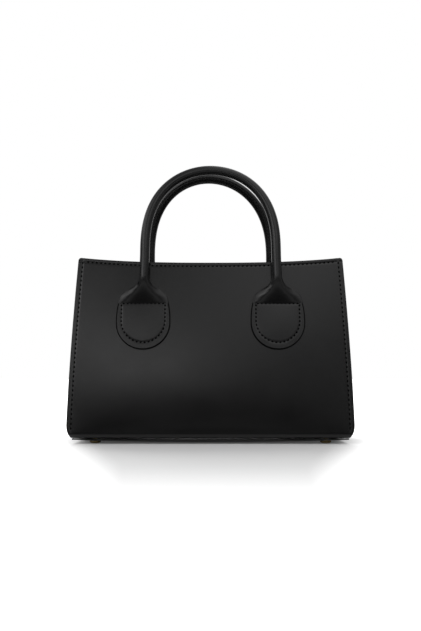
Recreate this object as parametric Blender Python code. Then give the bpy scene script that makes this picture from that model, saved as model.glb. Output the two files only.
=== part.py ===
"""A small structured handbag in smooth black faux leather.

The bag stands on four low metal feet. Its front and back panels lean in towards an open mouth,
two gussets join them with seams turned outwards, and two rolled handles swing on D shaped tabs.
X runs across the bag, Y from the front to the back and Z up. The floor is at zero.
"""

import math

import bmesh
import bpy
from mathutils import Matrix, Vector

# Driving sizes of the body
BASE_WIDTH = 0.270
TOP_WIDTH = 0.257
BASE_DEPTH = 0.105
TOP_DEPTH = 0.060
BODY_HEIGHT = 0.173
SEAM_LEVEL = 0.0055
TOP_DIP = 0.0051
TOP_DIP_POWER_SHARE = 2.6
SIDE_CURVE_POWER_SHARE = 1.6
PANEL_CROWN = 0.0015
BOTTOM_BEND_RADIUS = 0.0040
BOTTOM_CORNER_RADIUS = 0.0210
BOTTOM_CORNER_RISE = 0.0127
HEM_LENGTH = 0.0050

# Sheets and boards
LEATHER = 0.0012
FACING_LEATHER = 0.0010
STIFFENER = 0.0010
LINING = 0.0004
CLEARANCE = 0.0003

# Seams of the gussets
SEAM_FLANGE = 0.0060
FLANGE_SETBACK = 0.0004
GUSSET_FOLD = 0.0050
GUSSET_TOP_DROP = 0.0030
GUSSET_TOP_DIP = 0.0060
GUSSET_FOOT_LEVEL = 0.0077
GUSSET_FOOT_INSET = 0.0021

# Facings, linings and the pocket
FACING_HEIGHT = 0.028
LINING_TOP_DROP = 0.024
GUSSET_LINING_GAP = 0.0006
GUSSET_LINING_DROP = 0.0012
GUSSET_FACING_GAP = 0.0012
TOP_SETBACK = 0.0003
STIFFENER_TOP_DROP = 0.0006
POCKET_WIDTH = 0.120
POCKET_HEIGHT = 0.075
POCKET_FOOT = 0.035
POCKET_SHEET = 0.0005

# Base
BASE_BOW = 0.0028
BASE_BOW_POWER_SHARE = 0.7
BASE_ROLL_SHARE = 0.12
BASE_ROLL_STEP_SHARES = (0.0, 0.12, 0.33, 0.67, 1.0)
BASE_FLAT_SHARE = 0.4
BASE_SEAM_SETBACK = 0.0035
BASE_END_OVERHANG = 0.0010
BOARD_THICKNESS = 0.0024
BOARD_CORNER_RADIUS = 0.0040

# Feet
FOOT_WIDTH = 0.011
FOOT_INSET_X = 0.0255
FOOT_INSET_Y = 0.0150
FOOT_POST = 0.0032
FOOT_HEAD = 0.0060
FOOT_HEAD_THICKNESS = 0.0003
FOOT_RIM_SHARE = 0.30
FOOT_FLAT_SHARE = 0.35
WASHER_WIDTH = 0.0110
WASHER_THICKNESS = 0.0004
WASHER_RECESS_WIDTH = 0.0130
WASHER_RECESS_FLOOR = 0.0012
HOLE_EASE = 0.0004

# Magnetic snap
SNAP_DROP = 0.0130
SNAP_WIDTH = 0.0150
SNAP_THICKNESS = 0.0018
SNAP_BOSS_WIDTH = 0.0060
SNAP_BOSS_HEIGHT = 0.0010
SNAP_DIMPLE_DEPTH = 0.0012
SNAP_POST = 0.0030
SNAP_EDGE_BEVEL = 0.0006
SNAP_WASHER_WIDTH = 0.0120

# Handle tabs
TAB_SPACING = 0.129
TAB_WIDTH = 0.0515
TAB_HEIGHT = 0.0426
TAB_LEATHER = 0.0014
TAB_EDGE_BEVEL = 0.0004
TAB_SHOULDER_SHARE = 0.06
HINGE_HEIGHT = 0.1271

# Rolled handles
HANDLE_LENGTH = 0.1350
HANDLE_SPACING = 0.127
ARCH_HEIGHT = 0.084
ARCH_POWER_SHARE = 2.55
TUBE_WIDTH = 0.0088
TUBE_WALL = 0.0010
TUBE_STAND_OFF = 0.0060
HINGE_RADIUS = 0.0015
HINGE_END = 0.0012
HINGE_GAP = 0.0004
HINGE_ROUND_SHARE = 0.5
FLARE_HEIGHT = 0.028
FLARE_SPREAD_RISE = 0.020
FLARE_MOUTH_WALL = 0.00055
FLARE_MOUTH_SHARE = 0.47
FLARE_MOUTH_RISE_SHARE = 0.25
FLARE_BODY_SHARE = 1.15
FLARE_BODY_POWER_SHARE = 0.9
FLARE_STATION_SHARES = (0.12, 0.25, 0.37, 0.48, 0.6, 0.74, 0.9, 1.05)
LEG_STATION_SHARE = 0.8
FLAT_WALL_SHARE = 1.5
CORE_START = 0.023

# Counts of faces
PANEL_COLUMNS = 12
PANEL_ROWS = 8
WALL_ROW_POWER_SHARE = 1.4
BEND_ROWS = 4
SHEET_COLUMNS = 10
SHEET_ROWS = 6
GUSSET_STEPS = 10
TUBE_SIDES = 12
CORE_SIDE_STEPS = 2
ARCH_STEPS = 20
CURVE_SAMPLES = 400
TANGENT_SAMPLES = 3
ROUND_SIDES = 16
DOME_STEPS = 5
TAB_ARC_STEPS = 12
TAB_SHOULDER_STEPS = 4
BOARD_CORNER_STEPS = 3
SHARP_ANGLE = math.radians(40)

LEAN = math.atan((BASE_DEPTH - TOP_DEPTH) / 2 / BODY_HEIGHT)
SLANT = BODY_HEIGHT / math.cos(LEAN)
BEND_TURN = math.pi / 2 + LEAN
BEND_REACH = BOTTOM_BEND_RADIUS * math.tan(BEND_TURN / 2)
PANEL_REACH = SLANT - BEND_REACH
PANEL_DEPTH = LEATHER
STIFFENER_DEPTH = PANEL_DEPTH + CLEARANCE
LINING_DEPTH = STIFFENER_DEPTH + STIFFENER + CLEARANCE
FACING_DEPTH = LINING_DEPTH + LINING + CLEARANCE
INNER_DEPTH = FACING_DEPTH + FACING_LEATHER + CLEARANCE
HINGE_STAND_OFF = HINGE_RADIUS + HINGE_GAP
HINGE_STATION = (HINGE_HEIGHT / math.cos(LEAN)) - BEND_REACH
BOARD_FLOOR = SEAM_LEVEL + LEATHER + CLEARANCE
BOARD_TOP = BOARD_FLOOR + BOARD_THICKNESS
BASE_LINING_FLOOR = BOARD_TOP + FOOT_HEAD_THICKNESS + CLEARANCE
FRONT = -1
BACK = 1


def remove_all_objects():
    """Empty the scene before the bag is built."""
    for item in list(bpy.data.objects):
        bpy.data.objects.remove(item, do_unlink=True)


def principled(name, colour, roughness, metallic):
    """A plain Principled material."""
    material = bpy.data.materials.new(name)
    material.use_nodes = True
    shader = material.node_tree.nodes["Principled BSDF"]
    shader.inputs["Base Color"].default_value = (*colour, 1.0)
    shader.inputs["Roughness"].default_value = roughness
    shader.inputs["Metallic"].default_value = metallic
    material.diffuse_color = (*colour, 1.0)
    return material


def faux_leather(name):
    """Smooth black coated cloth with a satin face."""
    return principled(name, (0.018, 0.018, 0.018), 0.42, 0.0)


def lining_cloth(name):
    """Black woven lining."""
    return principled(name, (0.012, 0.012, 0.013), 0.85, 0.0)


def grey_board(name):
    """Pressed fibre board."""
    return principled(name, (0.22, 0.20, 0.17), 0.9, 0.0)


def pale_brass(name):
    """Polished brass plate."""
    return principled(name, (0.78, 0.60, 0.30), 0.25, 1.0)


def nickel(name):
    """Nickel plated steel."""
    return principled(name, (0.62, 0.61, 0.58), 0.3, 1.0)


def cotton_cord(name):
    """Pale cord that fills the rolled handles."""
    return principled(name, (0.62, 0.58, 0.50), 0.9, 0.0)


def add_object(name, mesh, material):
    """Link a mesh as one named object."""
    mesh.name = name
    mesh.materials.append(material)
    item = bpy.data.objects.new(name, mesh)
    bpy.context.scene.collection.objects.link(item)
    return item


def finish_solid(bm, name, material):
    """Point the faces of a closed body outwards and make it an object."""
    bmesh.ops.recalc_face_normals(bm, faces=bm.faces)
    if bm.calc_volume(signed=True) < 0.0:
        bmesh.ops.reverse_faces(bm, faces=bm.faces)
    mesh = bpy.data.meshes.new(name)
    bm.to_mesh(mesh)
    bm.free()
    return add_object(name, mesh, material)


def half_width(station):
    """Half of the panel's width at a distance up its slope."""
    share = max(station, 0.0) / PANEL_REACH
    taper = (BASE_WIDTH - TOP_WIDTH) / 2
    return BASE_WIDTH / 2 - taper * min(share, 1.0) ** SIDE_CURVE_POWER_SHARE


def corner_inset(level):
    """How far the rounded bottom corners draw the panel's edge in at a height."""
    sweep = max(BOTTOM_CORNER_RISE - (level - SEAM_LEVEL), 0.0)
    return BOTTOM_CORNER_RADIUS - math.sqrt(BOTTOM_CORNER_RADIUS ** 2 - sweep ** 2)


def top_station(x):
    """Where the dipped top edge crosses the slope at a distance from the middle."""
    share = min(abs(x) / (TOP_WIDTH / 2), 1.0)
    return PANEL_REACH - TOP_DIP * (1.0 - share ** TOP_DIP_POWER_SHARE)


def crown(x, station):
    """Gentle outward belly of the panels."""
    across = max(1.0 - (x / (BASE_WIDTH / 2)) ** 2, 0.0)
    up = min(max(station / PANEL_REACH, 0.0), 1.0)
    return PANEL_CROWN * across * 4 * up * (1.0 - up)


def wall_point(side, x, station, depth):
    """A point under the outer face of the front or back panel.

    station is measured up the slope from where the bottom bend ends, depth inwards from the face.
    """
    run = BEND_REACH + station
    inward = depth - crown(x, station)
    y = -BASE_DEPTH / 2 + run * math.sin(LEAN) + inward * math.cos(LEAN)
    z = SEAM_LEVEL + run * math.cos(LEAN) - inward * math.sin(LEAN)
    return Vector((x, y * -side, z))


def bend_point(side, x, angle, depth):
    """A point in the bend that turns the panel under the bag."""
    centre_y = -BASE_DEPTH / 2 + BEND_REACH
    centre_z = SEAM_LEVEL + BOTTOM_BEND_RADIUS
    reach = BOTTOM_BEND_RADIUS - depth
    y = centre_y - reach * math.cos(LEAN - angle)
    z = centre_z + reach * math.sin(LEAN - angle)
    return Vector((x, y * -side, z))


def thick_grid(columns, rows, place):
    """A closed sheet from a grid that is extruded and laid between its two faces.

    place takes the share across, the row's number and whether the point is on the inner face.
    """
    bm = bmesh.new()
    bmesh.ops.create_grid(bm, x_segments=columns, y_segments=rows, size=1.0)
    extruded = bmesh.ops.extrude_face_region(bm, geom=bm.faces[:], use_keep_orig=True)
    inner = {item for item in extruded["geom"] if isinstance(item, bmesh.types.BMVert)}
    for vert in bm.verts:
        row = round((vert.co.y + 1.0) / 2 * rows)
        vert.co = place(vert.co.x, row, vert in inner)
    return bm


def wall_row_share(row):
    """How far up the wall a row lies; the rows are closer together near the bottom corners."""
    return (row / PANEL_ROWS) ** WALL_ROW_POWER_SHARE


def outer_panel(name, side):
    """The leather front or back: slope, bottom bend and the hem that runs under the bag."""
    rows = PANEL_ROWS + BEND_ROWS + 1

    def place(across, row, inner):
        depth = LEATHER if inner else 0.0
        if row == 0:
            x = across * (BASE_WIDTH / 2 - corner_inset(SEAM_LEVEL))
            point = bend_point(side, x, BEND_TURN, depth)
            return point + Vector((0.0, HEM_LENGTH * -side, 0.0))
        if row <= BEND_ROWS:
            angle = BEND_TURN * (1.0 - (row - 1) / BEND_ROWS)
            level = bend_point(side, 0.0, angle, 0.0).z
            x = across * (BASE_WIDTH / 2 - corner_inset(level))
            return bend_point(side, x, angle, depth)
        share = wall_row_share(row - BEND_ROWS - 1)
        station = top_station(across * TOP_WIDTH / 2) * share
        level = wall_point(side, 0.0, station, 0.0).z
        x = across * (half_width(station) - corner_inset(level))
        return wall_point(side, x, station, depth)

    bm = thick_grid(PANEL_COLUMNS, rows, place)
    return finish_solid(bm, name, faux_leather(name + "_finish"))


def wall_sheet(name, side, reach, low, top_drop, depth, thickness, material):
    """A sheet that lies behind a panel, with its top edge along the bag's dipped mouth."""

    def place(across, row, inner):
        x_top = across * reach(PANEL_REACH)
        high = top_station(x_top) - top_drop
        station = low + (high - low) * row / SHEET_ROWS
        x = across * reach(station)
        return wall_point(side, x, station, depth + (thickness if inner else 0.0))

    bm = thick_grid(SHEET_COLUMNS, SHEET_ROWS, place)
    return finish_solid(bm, name, material)


def gusset_outer_x(station):
    """The outer face of the gusset's wall, before its soft fold."""
    return half_width(station) - SEAM_FLANGE


def inner_reach(station):
    """How far sideways the sheets inside may reach, clear of the gusset's fold."""
    wall_half = abs(wall_point(FRONT, BASE_WIDTH, station, PANEL_DEPTH + CLEARANCE).y)
    sheet_half = abs(wall_point(FRONT, BASE_WIDTH, station, INNER_DEPTH).y)
    fold = gusset_fold(sheet_half / wall_half, station)
    return gusset_outer_x(station) - LEATHER - CLEARANCE - fold


def gusset_fold(across, station):
    """How far the side wall folds inwards."""
    up = min(max(station / PANEL_REACH, 0.0), 1.0)
    return GUSSET_FOLD * (1.0 - across ** 2) ** 2 * math.sin(math.pi * up / 2) ** 2


def gusset_drop(across, station):
    """How far the top edge of the side wall dips between the panels."""
    up = min(max(station / PANEL_REACH, 0.0), 1.0)
    return GUSSET_TOP_DIP * (1.0 - across ** 2) * up ** 4


def folded_wall(x, station, depth, first_side):
    """Points along one face of a gusset's wall, from one panel to the other."""
    start = wall_point(first_side, x, station, depth)
    end = wall_point(-first_side, x, station, depth)
    points = []
    for step in range(GUSSET_STEPS + 1):
        across = 2 * step / GUSSET_STEPS - 1.0
        point = start.lerp(end, step / GUSSET_STEPS)
        point.x -= gusset_fold(across, station)
        point.z -= gusset_drop(across, station)
        points.append(point)
    return points


def gusset_row(station, hand, extra_depth):
    """One closed section through a gusset: flange, folded wall and flange, with thickness."""
    near = PANEL_DEPTH + CLEARANCE + extra_depth
    far = near + LEATHER
    outer_x = gusset_outer_x(station)
    inner_x = outer_x - LEATHER
    level = wall_point(FRONT, BASE_WIDTH, station, 0.0).z
    edge_x = outer_x + SEAM_FLANGE - FLANGE_SETBACK - corner_inset(level)
    points = [wall_point(FRONT, edge_x, station, near)]
    points += folded_wall(inner_x, station, near, FRONT)
    points.append(wall_point(BACK, edge_x, station, near))
    points.append(wall_point(BACK, edge_x, station, far))
    points += folded_wall(outer_x, station, far, BACK)
    points.append(wall_point(FRONT, edge_x, station, far))
    return [Vector((point.x * hand, point.y, point.z)) for point in points]


def extruded_rings(bm, rings, closed_ends):
    """Extrude a ring of edges from section to section, and cap the ends if asked."""
    slot = bm.verts.layers.int.new("slot") if not bm.verts.layers.int else bm.verts.layers.int[0]
    verts = [bm.verts.new(point) for point in rings[0]]
    for number, vert in enumerate(verts):
        vert[slot] = number
    edges = [bm.edges.new((verts[i], verts[(i + 1) % len(verts)])) for i in range(len(verts))]
    first = list(edges)
    for ring in rings[1:]:
        grown = bmesh.ops.extrude_edge_only(bm, edges=edges)["geom"]
        edges = []
        for item in grown:
            if isinstance(item, bmesh.types.BMVert):
                item.co = ring[item[slot]]
        for item in grown:
            if isinstance(item, bmesh.types.BMEdge) and lies_on_ring(item, ring, slot):
                edges.append(item)
    if closed_ends:
        for border in (first, edges):
            bmesh.ops.contextual_create(bm, geom=border)
    return first, edges


def lies_on_ring(edge, ring, slot):
    """Whether an extruded edge lies along the new ring."""
    return all((vert.co - ring[vert[slot]]).length_squared == 0.0 for vert in edge.verts)


def join_rims(bm, outer_edges, inner_edges):
    """Close the wall between two rings whose points carry the same numbers."""
    slot = bm.verts.layers.int[0]
    outer = {vert[slot]: vert for edge in outer_edges for vert in edge.verts}
    inner = {vert[slot]: vert for edge in inner_edges for vert in edge.verts}
    for number in outer:
        following = (number + 1) % len(outer)
        bm.faces.new((outer[number], outer[following], inner[following], inner[number]))


def gusset(name, hand):
    """A side wall with its two seam flanges."""
    rings = []
    foot = (GUSSET_FOOT_LEVEL - SEAM_LEVEL) / math.cos(LEAN) - BEND_REACH
    rings.append(gusset_row(foot, hand, GUSSET_FOOT_INSET))
    top = PANEL_REACH - GUSSET_TOP_DROP
    for row in range(PANEL_ROWS + 1):
        rings.append(gusset_row(top * wall_row_share(row) + CLEARANCE, hand, 0.0))
    bm = bmesh.new()
    extruded_rings(bm, rings, True)
    bmesh.ops.triangulate(bm, faces=[face for face in bm.faces if len(face.verts) > 4])
    return finish_solid(bm, name, faux_leather(name + "_finish"))


def gusset_sheet(name, hand, low, top_drop, x_gap, depth, thickness, material):
    """A sheet inside a gusset's wall, between the sheets of the front and the back."""
    def place(across, row, inner):
        high = PANEL_REACH - GUSSET_TOP_DROP - top_drop
        station = low + (high - low) * row / SHEET_ROWS
        x = gusset_outer_x(station) - LEATHER - x_gap - (thickness if inner else 0.0)
        front = wall_point(FRONT, x, station, depth)
        back = wall_point(BACK, x, station, depth)
        point = front.lerp(back, (across + 1.0) / 2)
        wall_half = abs(wall_point(FRONT, x, station, PANEL_DEPTH + CLEARANCE).y)
        share = min(abs(point.y) / wall_half, 1.0)
        point.x -= gusset_fold(share, station)
        point.z -= gusset_drop(share, station)
        point.x *= hand
        return point

    bm = thick_grid(GUSSET_STEPS, SHEET_ROWS, place)
    return finish_solid(bm, name, material)


def base_low(x, y):
    """The underside of the base panel, which bows down between the feet."""
    across = min(abs(x) / base_half_width(), 1.0)
    deep = min(abs(y) / base_half_depth(), 1.0)
    roll = max(deep - (1.0 - BASE_ROLL_SHARE), 0.0) / BASE_ROLL_SHARE
    bow = (1.0 - across ** 2) ** BASE_BOW_POWER_SHARE * math.sqrt(max(1.0 - roll ** 2, 0.0))
    return SEAM_LEVEL - CLEARANCE - LEATHER - BASE_BOW * bow


def base_half_width():
    """Half of the base panel's width, a little proud of the gussets' walls."""
    return gusset_outer_x(0.0) + BASE_END_OVERHANG


def base_half_depth():
    """Half of the base panel's depth."""
    return BASE_DEPTH / 2 - BASE_SEAM_SETBACK


def base_panel():
    """The leather base, rolled up to the seams at the front and the back."""
    front = [BASE_ROLL_SHARE * share - 1.0 for share in BASE_ROLL_STEP_SHARES] + [-BASE_FLAT_SHARE]
    shares = front + [-share for share in reversed(front)]

    def place(across, row, inner):
        y = base_half_depth() * shares[row]
        x = base_half_width() * math.sin(across * math.pi / 2)
        return Vector((x, y, base_low(x, y) + (LEATHER if inner else 0.0)))

    bm = thick_grid(PANEL_COLUMNS, len(shares) - 1, place)
    panel = finish_solid(bm, "base_panel", faux_leather("base_panel_finish"))
    for x, y in foot_places():
        drill(panel, x, y, FOOT_POST / 2 + HOLE_EASE, 0.0, BOARD_FLOOR)
    return panel


def foot_places():
    """The four feet, given as x and y."""
    x = BASE_WIDTH / 2 - FOOT_INSET_X
    y = BASE_DEPTH / 2 - FOOT_INSET_Y
    return [(side_x * x, side_y * y) for side_y in (-1, 1) for side_x in (-1, 1)]


def drill(item, x, y, radius, low, high):
    """Cut a round hole down through an object with a hidden cylinder."""
    bm = bmesh.new()
    bmesh.ops.create_cone(bm, cap_ends=True, segments=TUBE_SIDES, radius1=radius, radius2=radius,
                          depth=high - low)
    bmesh.ops.translate(bm, verts=bm.verts, vec=(x, y, (low + high) / 2))
    mesh = bpy.data.meshes.new(item.name + "_drill")
    bm.to_mesh(mesh)
    bm.free()
    cut_with(item, mesh)


def cut_with(item, mesh):
    """Take a hidden cutter's mesh away from an object."""
    cutter = bpy.data.objects.new(mesh.name, mesh)
    bpy.context.scene.collection.objects.link(cutter)
    cutter.hide_render = True
    cutter.display_type = 'WIRE'
    cut = item.modifiers.new("cut", 'BOOLEAN')
    cut.operation = 'DIFFERENCE'
    cut.solver = 'EXACT'
    cut.object = cutter


def flat_board(name, half_x, half_y, low, high, material):
    """A flat sheet with small round corners."""
    bm = bmesh.new()
    bmesh.ops.create_cube(bm, size=2.0)
    bmesh.ops.scale(bm, verts=bm.verts, vec=(half_x, half_y, (high - low) / 2))
    bmesh.ops.translate(bm, verts=bm.verts, vec=(0.0, 0.0, (low + high) / 2))
    upright = [edge for edge in bm.edges if abs(edge.verts[0].co.z - edge.verts[1].co.z) > LINING / 2]
    bmesh.ops.bevel(bm, geom=upright, offset=BOARD_CORNER_RADIUS, segments=BOARD_CORNER_STEPS, profile=0.5,
                    affect='EDGES')
    return finish_solid(bm, name, material)


def base_board():
    """The board that keeps the base flat, with its holes and recesses for the feet."""
    half_x = gusset_outer_x(0.0) - LEATHER - CLEARANCE
    half_y = BASE_DEPTH / 2 - BEND_REACH - CLEARANCE
    board = flat_board("base_board", half_x, half_y, BOARD_FLOOR, BOARD_TOP,
                       grey_board("base_board_finish"))
    for x, y in foot_places():
        drill(board, x, y, FOOT_POST / 2 + HOLE_EASE, 0.0, BOARD_TOP + BOARD_FLOOR)
        floor = BOARD_FLOOR + WASHER_RECESS_FLOOR
        drill(board, x, y, WASHER_RECESS_WIDTH / 2, floor, BOARD_TOP + BOARD_FLOOR)
    return board


def turned(name, profile, material, matrix):
    """Spin a profile of radius and height pairs into a closed round body."""
    bm = bmesh.new()
    verts = [bm.verts.new((radius, 0.0, height)) for radius, height in profile]
    edges = [bm.edges.new(pair) for pair in zip(verts, verts[1:])]
    if profile[0][0] > 0.0:
        edges.append(bm.edges.new((verts[-1], verts[0])))
    bmesh.ops.spin(bm, geom=verts + edges, cent=(0.0, 0.0, 0.0), axis=(0.0, 0.0, 1.0),
                   angle=math.tau, steps=ROUND_SIDES, use_merge=True, use_duplicate=False)
    bmesh.ops.remove_doubles(bm, verts=bm.verts, dist=CLEARANCE / 100)
    bmesh.ops.transform(bm, matrix=matrix, verts=bm.verts)
    item = finish_solid(bm, name, material)
    item.data.shade_smooth()
    item.data.set_sharp_from_angle(angle=SHARP_ANGLE)
    return item


def foot(name, x, y):
    """A domed foot with the post and the upset head that hold it through the board."""
    radius = FOOT_WIDTH / 2
    outer_low = base_low(x - math.copysign(radius, x), y)
    top = outer_low - CLEARANCE
    rim = top * FOOT_RIM_SHARE
    flat = radius * FOOT_FLAT_SHARE
    profile = [(0.0, 0.0), (flat, 0.0)]
    for step in range(1, DOME_STEPS):
        angle = math.pi / 2 * step / DOME_STEPS
        profile.append((flat + (radius - flat) * math.sin(angle),
                        (top - rim) * (1.0 - math.cos(angle))))
    profile += [(radius, top - rim), (radius, top), (FOOT_POST / 2, top)]
    washer_top = BOARD_FLOOR + WASHER_RECESS_FLOOR + CLEARANCE + WASHER_THICKNESS
    head_low = washer_top + CLEARANCE
    profile += [(FOOT_POST / 2, head_low), (FOOT_HEAD / 2, head_low)]
    profile += [(FOOT_HEAD / 2, head_low + FOOT_HEAD_THICKNESS), (0.0, head_low + FOOT_HEAD_THICKNESS)]
    return turned(name, profile, pale_brass(name + "_finish"), Matrix.Translation((x, y, 0.0)))


def foot_washer(name, x, y):
    """The washer in the board's recess, round the post of a foot."""
    low = BOARD_FLOOR + WASHER_RECESS_FLOOR + CLEARANCE
    bore = FOOT_POST / 2 + HOLE_EASE
    edge = WASHER_WIDTH / 2
    profile = [(bore, low), (edge, low), (edge, low + WASHER_THICKNESS), (bore, low + WASHER_THICKNESS)]
    return turned(name, profile, nickel(name + "_finish"), Matrix.Translation((x, y, 0.0)))


def snap_matrix(side):
    """A frame on the facing: origin on the panel's outer face, Z pointing into the bag."""
    station = top_station(0.0) - SNAP_DROP
    origin = wall_point(side, 0.0, station, 0.0)
    inward = (wall_point(side, 0.0, station, LEATHER) - origin).normalized()
    across = Vector((1.0, 0.0, 0.0))
    up = inward.cross(across)
    matrix = Matrix((across, up, inward)).transposed().to_4x4()
    matrix.translation = origin
    return matrix


def snap_body(name, side, boss):
    """Half of the magnetic snap, with the post that goes through the facing."""
    low = LINING_DEPTH
    seat = FACING_DEPTH + FACING_LEATHER + CLEARANCE
    top = seat + SNAP_THICKNESS
    profile = [(0.0, low), (SNAP_POST / 2, low), (SNAP_POST / 2, seat), (SNAP_WIDTH / 2, seat)]
    profile += [(SNAP_WIDTH / 2, top - SNAP_EDGE_BEVEL), (SNAP_WIDTH / 2 - SNAP_EDGE_BEVEL, top)]
    if boss:
        profile += [(SNAP_BOSS_WIDTH / 2, top), (SNAP_BOSS_WIDTH / 2, top + SNAP_BOSS_HEIGHT)]
        profile += [(0.0, top + SNAP_BOSS_HEIGHT)]
    else:
        dimple = SNAP_BOSS_WIDTH / 2 + CLEARANCE
        profile += [(dimple, top), (dimple, top - SNAP_DIMPLE_DEPTH), (0.0, top - SNAP_DIMPLE_DEPTH)]
    return turned(name, profile, nickel(name + "_finish"), snap_matrix(side))


def snap_washer(name, side):
    """The washer behind the facing, round the post of a snap."""
    low = LINING_DEPTH
    high = low + LINING
    bore = SNAP_POST / 2 + HOLE_EASE
    edge = SNAP_WASHER_WIDTH / 2
    profile = [(bore, low), (edge, low), (edge, high), (bore, high)]
    return turned(name, profile, nickel(name + "_finish"), snap_matrix(side))


def facing(name, side):
    """The leather strip inside the mouth, with the hole for the snap's post."""
    low = top_station(0.0) - FACING_HEIGHT
    strip = wall_sheet(name, side, inner_reach, low, TOP_SETBACK, FACING_DEPTH, FACING_LEATHER,
                       faux_leather(name + "_finish"))
    bm = bmesh.new()
    radius = SNAP_POST / 2 + HOLE_EASE
    bmesh.ops.create_cone(bm, cap_ends=True, segments=TUBE_SIDES, radius1=radius, radius2=radius,
                          depth=FACING_HEIGHT)
    bmesh.ops.transform(bm, matrix=snap_matrix(side), verts=bm.verts)
    mesh = bpy.data.meshes.new(name + "_drill")
    bm.to_mesh(mesh)
    bm.free()
    cut_with(strip, mesh)
    return strip


def tab_outline():
    """The D of a handle tab, from its middle: x across, and the distance down from the hinge."""
    half = TAB_WIDTH / 2
    top = HINGE_RADIUS + CLEARANCE
    shoulder = TAB_WIDTH * TAB_SHOULDER_SHARE
    points = []
    for step in range(TAB_SHOULDER_STEPS + 1):
        angle = math.pi / 2 * step / TAB_SHOULDER_STEPS
        points.append((half - shoulder * (1.0 - math.sin(angle)), top + shoulder * (1.0 - math.cos(angle))))
    centre = TAB_HEIGHT + top - half
    for step in range(TAB_ARC_STEPS + 1):
        angle = math.pi * step / TAB_ARC_STEPS
        points.append((half * math.cos(angle), centre + half * math.sin(angle)))
    for step in range(TAB_SHOULDER_STEPS + 1):
        angle = math.pi / 2 * (1.0 - step / TAB_SHOULDER_STEPS)
        points.append((-half + shoulder * (1.0 - math.sin(angle)),
                       top + shoulder * (1.0 - math.cos(angle))))
    return points


def handle_tab(name, side, hand):
    """A D shaped tab, sewn flat on the panel under one end of a handle."""
    bm = bmesh.new()
    verts = [bm.verts.new((x, down, 0.0)) for x, down in tab_outline()]
    face = bm.faces.new(verts)
    grown = bmesh.ops.extrude_face_region(bm, geom=[face], use_keep_orig=True)["geom"]
    raised = {item for item in grown if isinstance(item, bmesh.types.BMVert)}
    rim = [edge for edge in bm.edges if all(vert in raised for vert in edge.verts)]
    for vert in raised:
        vert.co.z = TAB_LEATHER
    bmesh.ops.recalc_face_normals(bm, faces=bm.faces)
    bmesh.ops.bevel(bm, geom=rim, offset=TAB_EDGE_BEVEL, segments=1, profile=0.5, affect='EDGES')
    bmesh.ops.triangulate(bm, faces=[face for face in bm.faces if len(face.verts) > 4])
    middle = hand * TAB_SPACING / 2
    for vert in bm.verts:
        station = HINGE_STATION - vert.co.y
        vert.co = wall_point(side, middle + vert.co.x, station, -CLEARANCE - vert.co.z)
    return finish_solid(bm, name, faux_leather(name + "_finish"))


def smooth(value):
    """An ease from zero to one."""
    value = min(max(value, 0.0), 1.0)
    return value * value * (3.0 - 2.0 * value)


def flare_section(rise):
    """Half width and half thickness of the handle's end at a rise over the hinge."""
    tube = TUBE_WIDTH / 2
    mouth = TAB_WIDTH * FLARE_MOUTH_SHARE
    share = min(max(rise / FLARE_HEIGHT, 0.0), 1.0)
    spread = mouth + (tube - mouth) * smooth(share)
    swelling = smooth(share * FLARE_BODY_SHARE) ** FLARE_BODY_POWER_SHARE
    body = HINGE_RADIUS + (tube - HINGE_RADIUS) * swelling
    if rise < 0.0:
        body = math.sqrt(max(HINGE_RADIUS ** 2 - rise ** 2, 0.0))
    return spread, body


def handle_route():
    """Stations of one handle: x, rise over the hinge, stand-off, angle, half width, half thickness."""
    arch_foot = HANDLE_LENGTH - ARCH_HEIGHT
    half = HANDLE_SPACING / 2
    toe = (TAB_SPACING - HANDLE_SPACING) / 2
    rises = [-HINGE_END, -HINGE_END * HINGE_ROUND_SHARE, 0.0]
    rises += [FLARE_HEIGHT * share for share in FLARE_STATION_SHARES]
    rises += [arch_foot * LEG_STATION_SHARE]
    leg = []
    for rise in rises:
        x = half + toe * (1.0 - smooth(rise / arch_foot))
        lift = smooth(rise / FLARE_SPREAD_RISE)
        stand = HINGE_STAND_OFF + (TUBE_STAND_OFF - HINGE_STAND_OFF) * lift
        spread, body = flare_section(rise)
        leg.append((x, rise, stand, math.pi / 2, spread, body))
    curve = []
    for step in range(CURVE_SAMPLES + 1):
        turn = math.pi * step / CURVE_SAMPLES
        curve.append(Vector((half * math.cos(turn),
                             arch_foot + ARCH_HEIGHT * math.sin(turn) ** (2 / ARCH_POWER_SHARE))))
    lengths = [0.0]
    for before, after in zip(curve, curve[1:]):
        lengths.append(lengths[-1] + (after - before).length)
    arch = []
    for step in range(ARCH_STEPS + 1):
        goal = lengths[-1] * step / ARCH_STEPS
        index = next((i for i, length in enumerate(lengths) if length >= goal), CURVE_SAMPLES)
        before = curve[max(index - TANGENT_SAMPLES, 0)]
        after = curve[min(index + TANGENT_SAMPLES, CURVE_SAMPLES)]
        angle = math.atan2(after.y - before.y, after.x - before.x)
        if step in (0, ARCH_STEPS):
            angle = math.pi / 2 if step == 0 else -math.pi / 2
        tube = TUBE_WIDTH / 2
        arch.append((curve[index].x, curve[index].y, TUBE_STAND_OFF, angle, tube, tube))
    down = [(-x, rise, stand, -angle, spread, body) for x, rise, stand, angle, spread, body in reversed(leg)]
    return leg + arch + down


def handle_point(side, x, rise, stand):
    """A point of a handle: rise up the slope from the hinge, stand off the panel's plane."""
    lift = crown(TAB_SPACING / 2, HINGE_STATION)
    base = wall_point(side, BASE_WIDTH, HINGE_STATION + rise, -stand - lift)
    return Vector((x, base.y, base.z))


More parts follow.
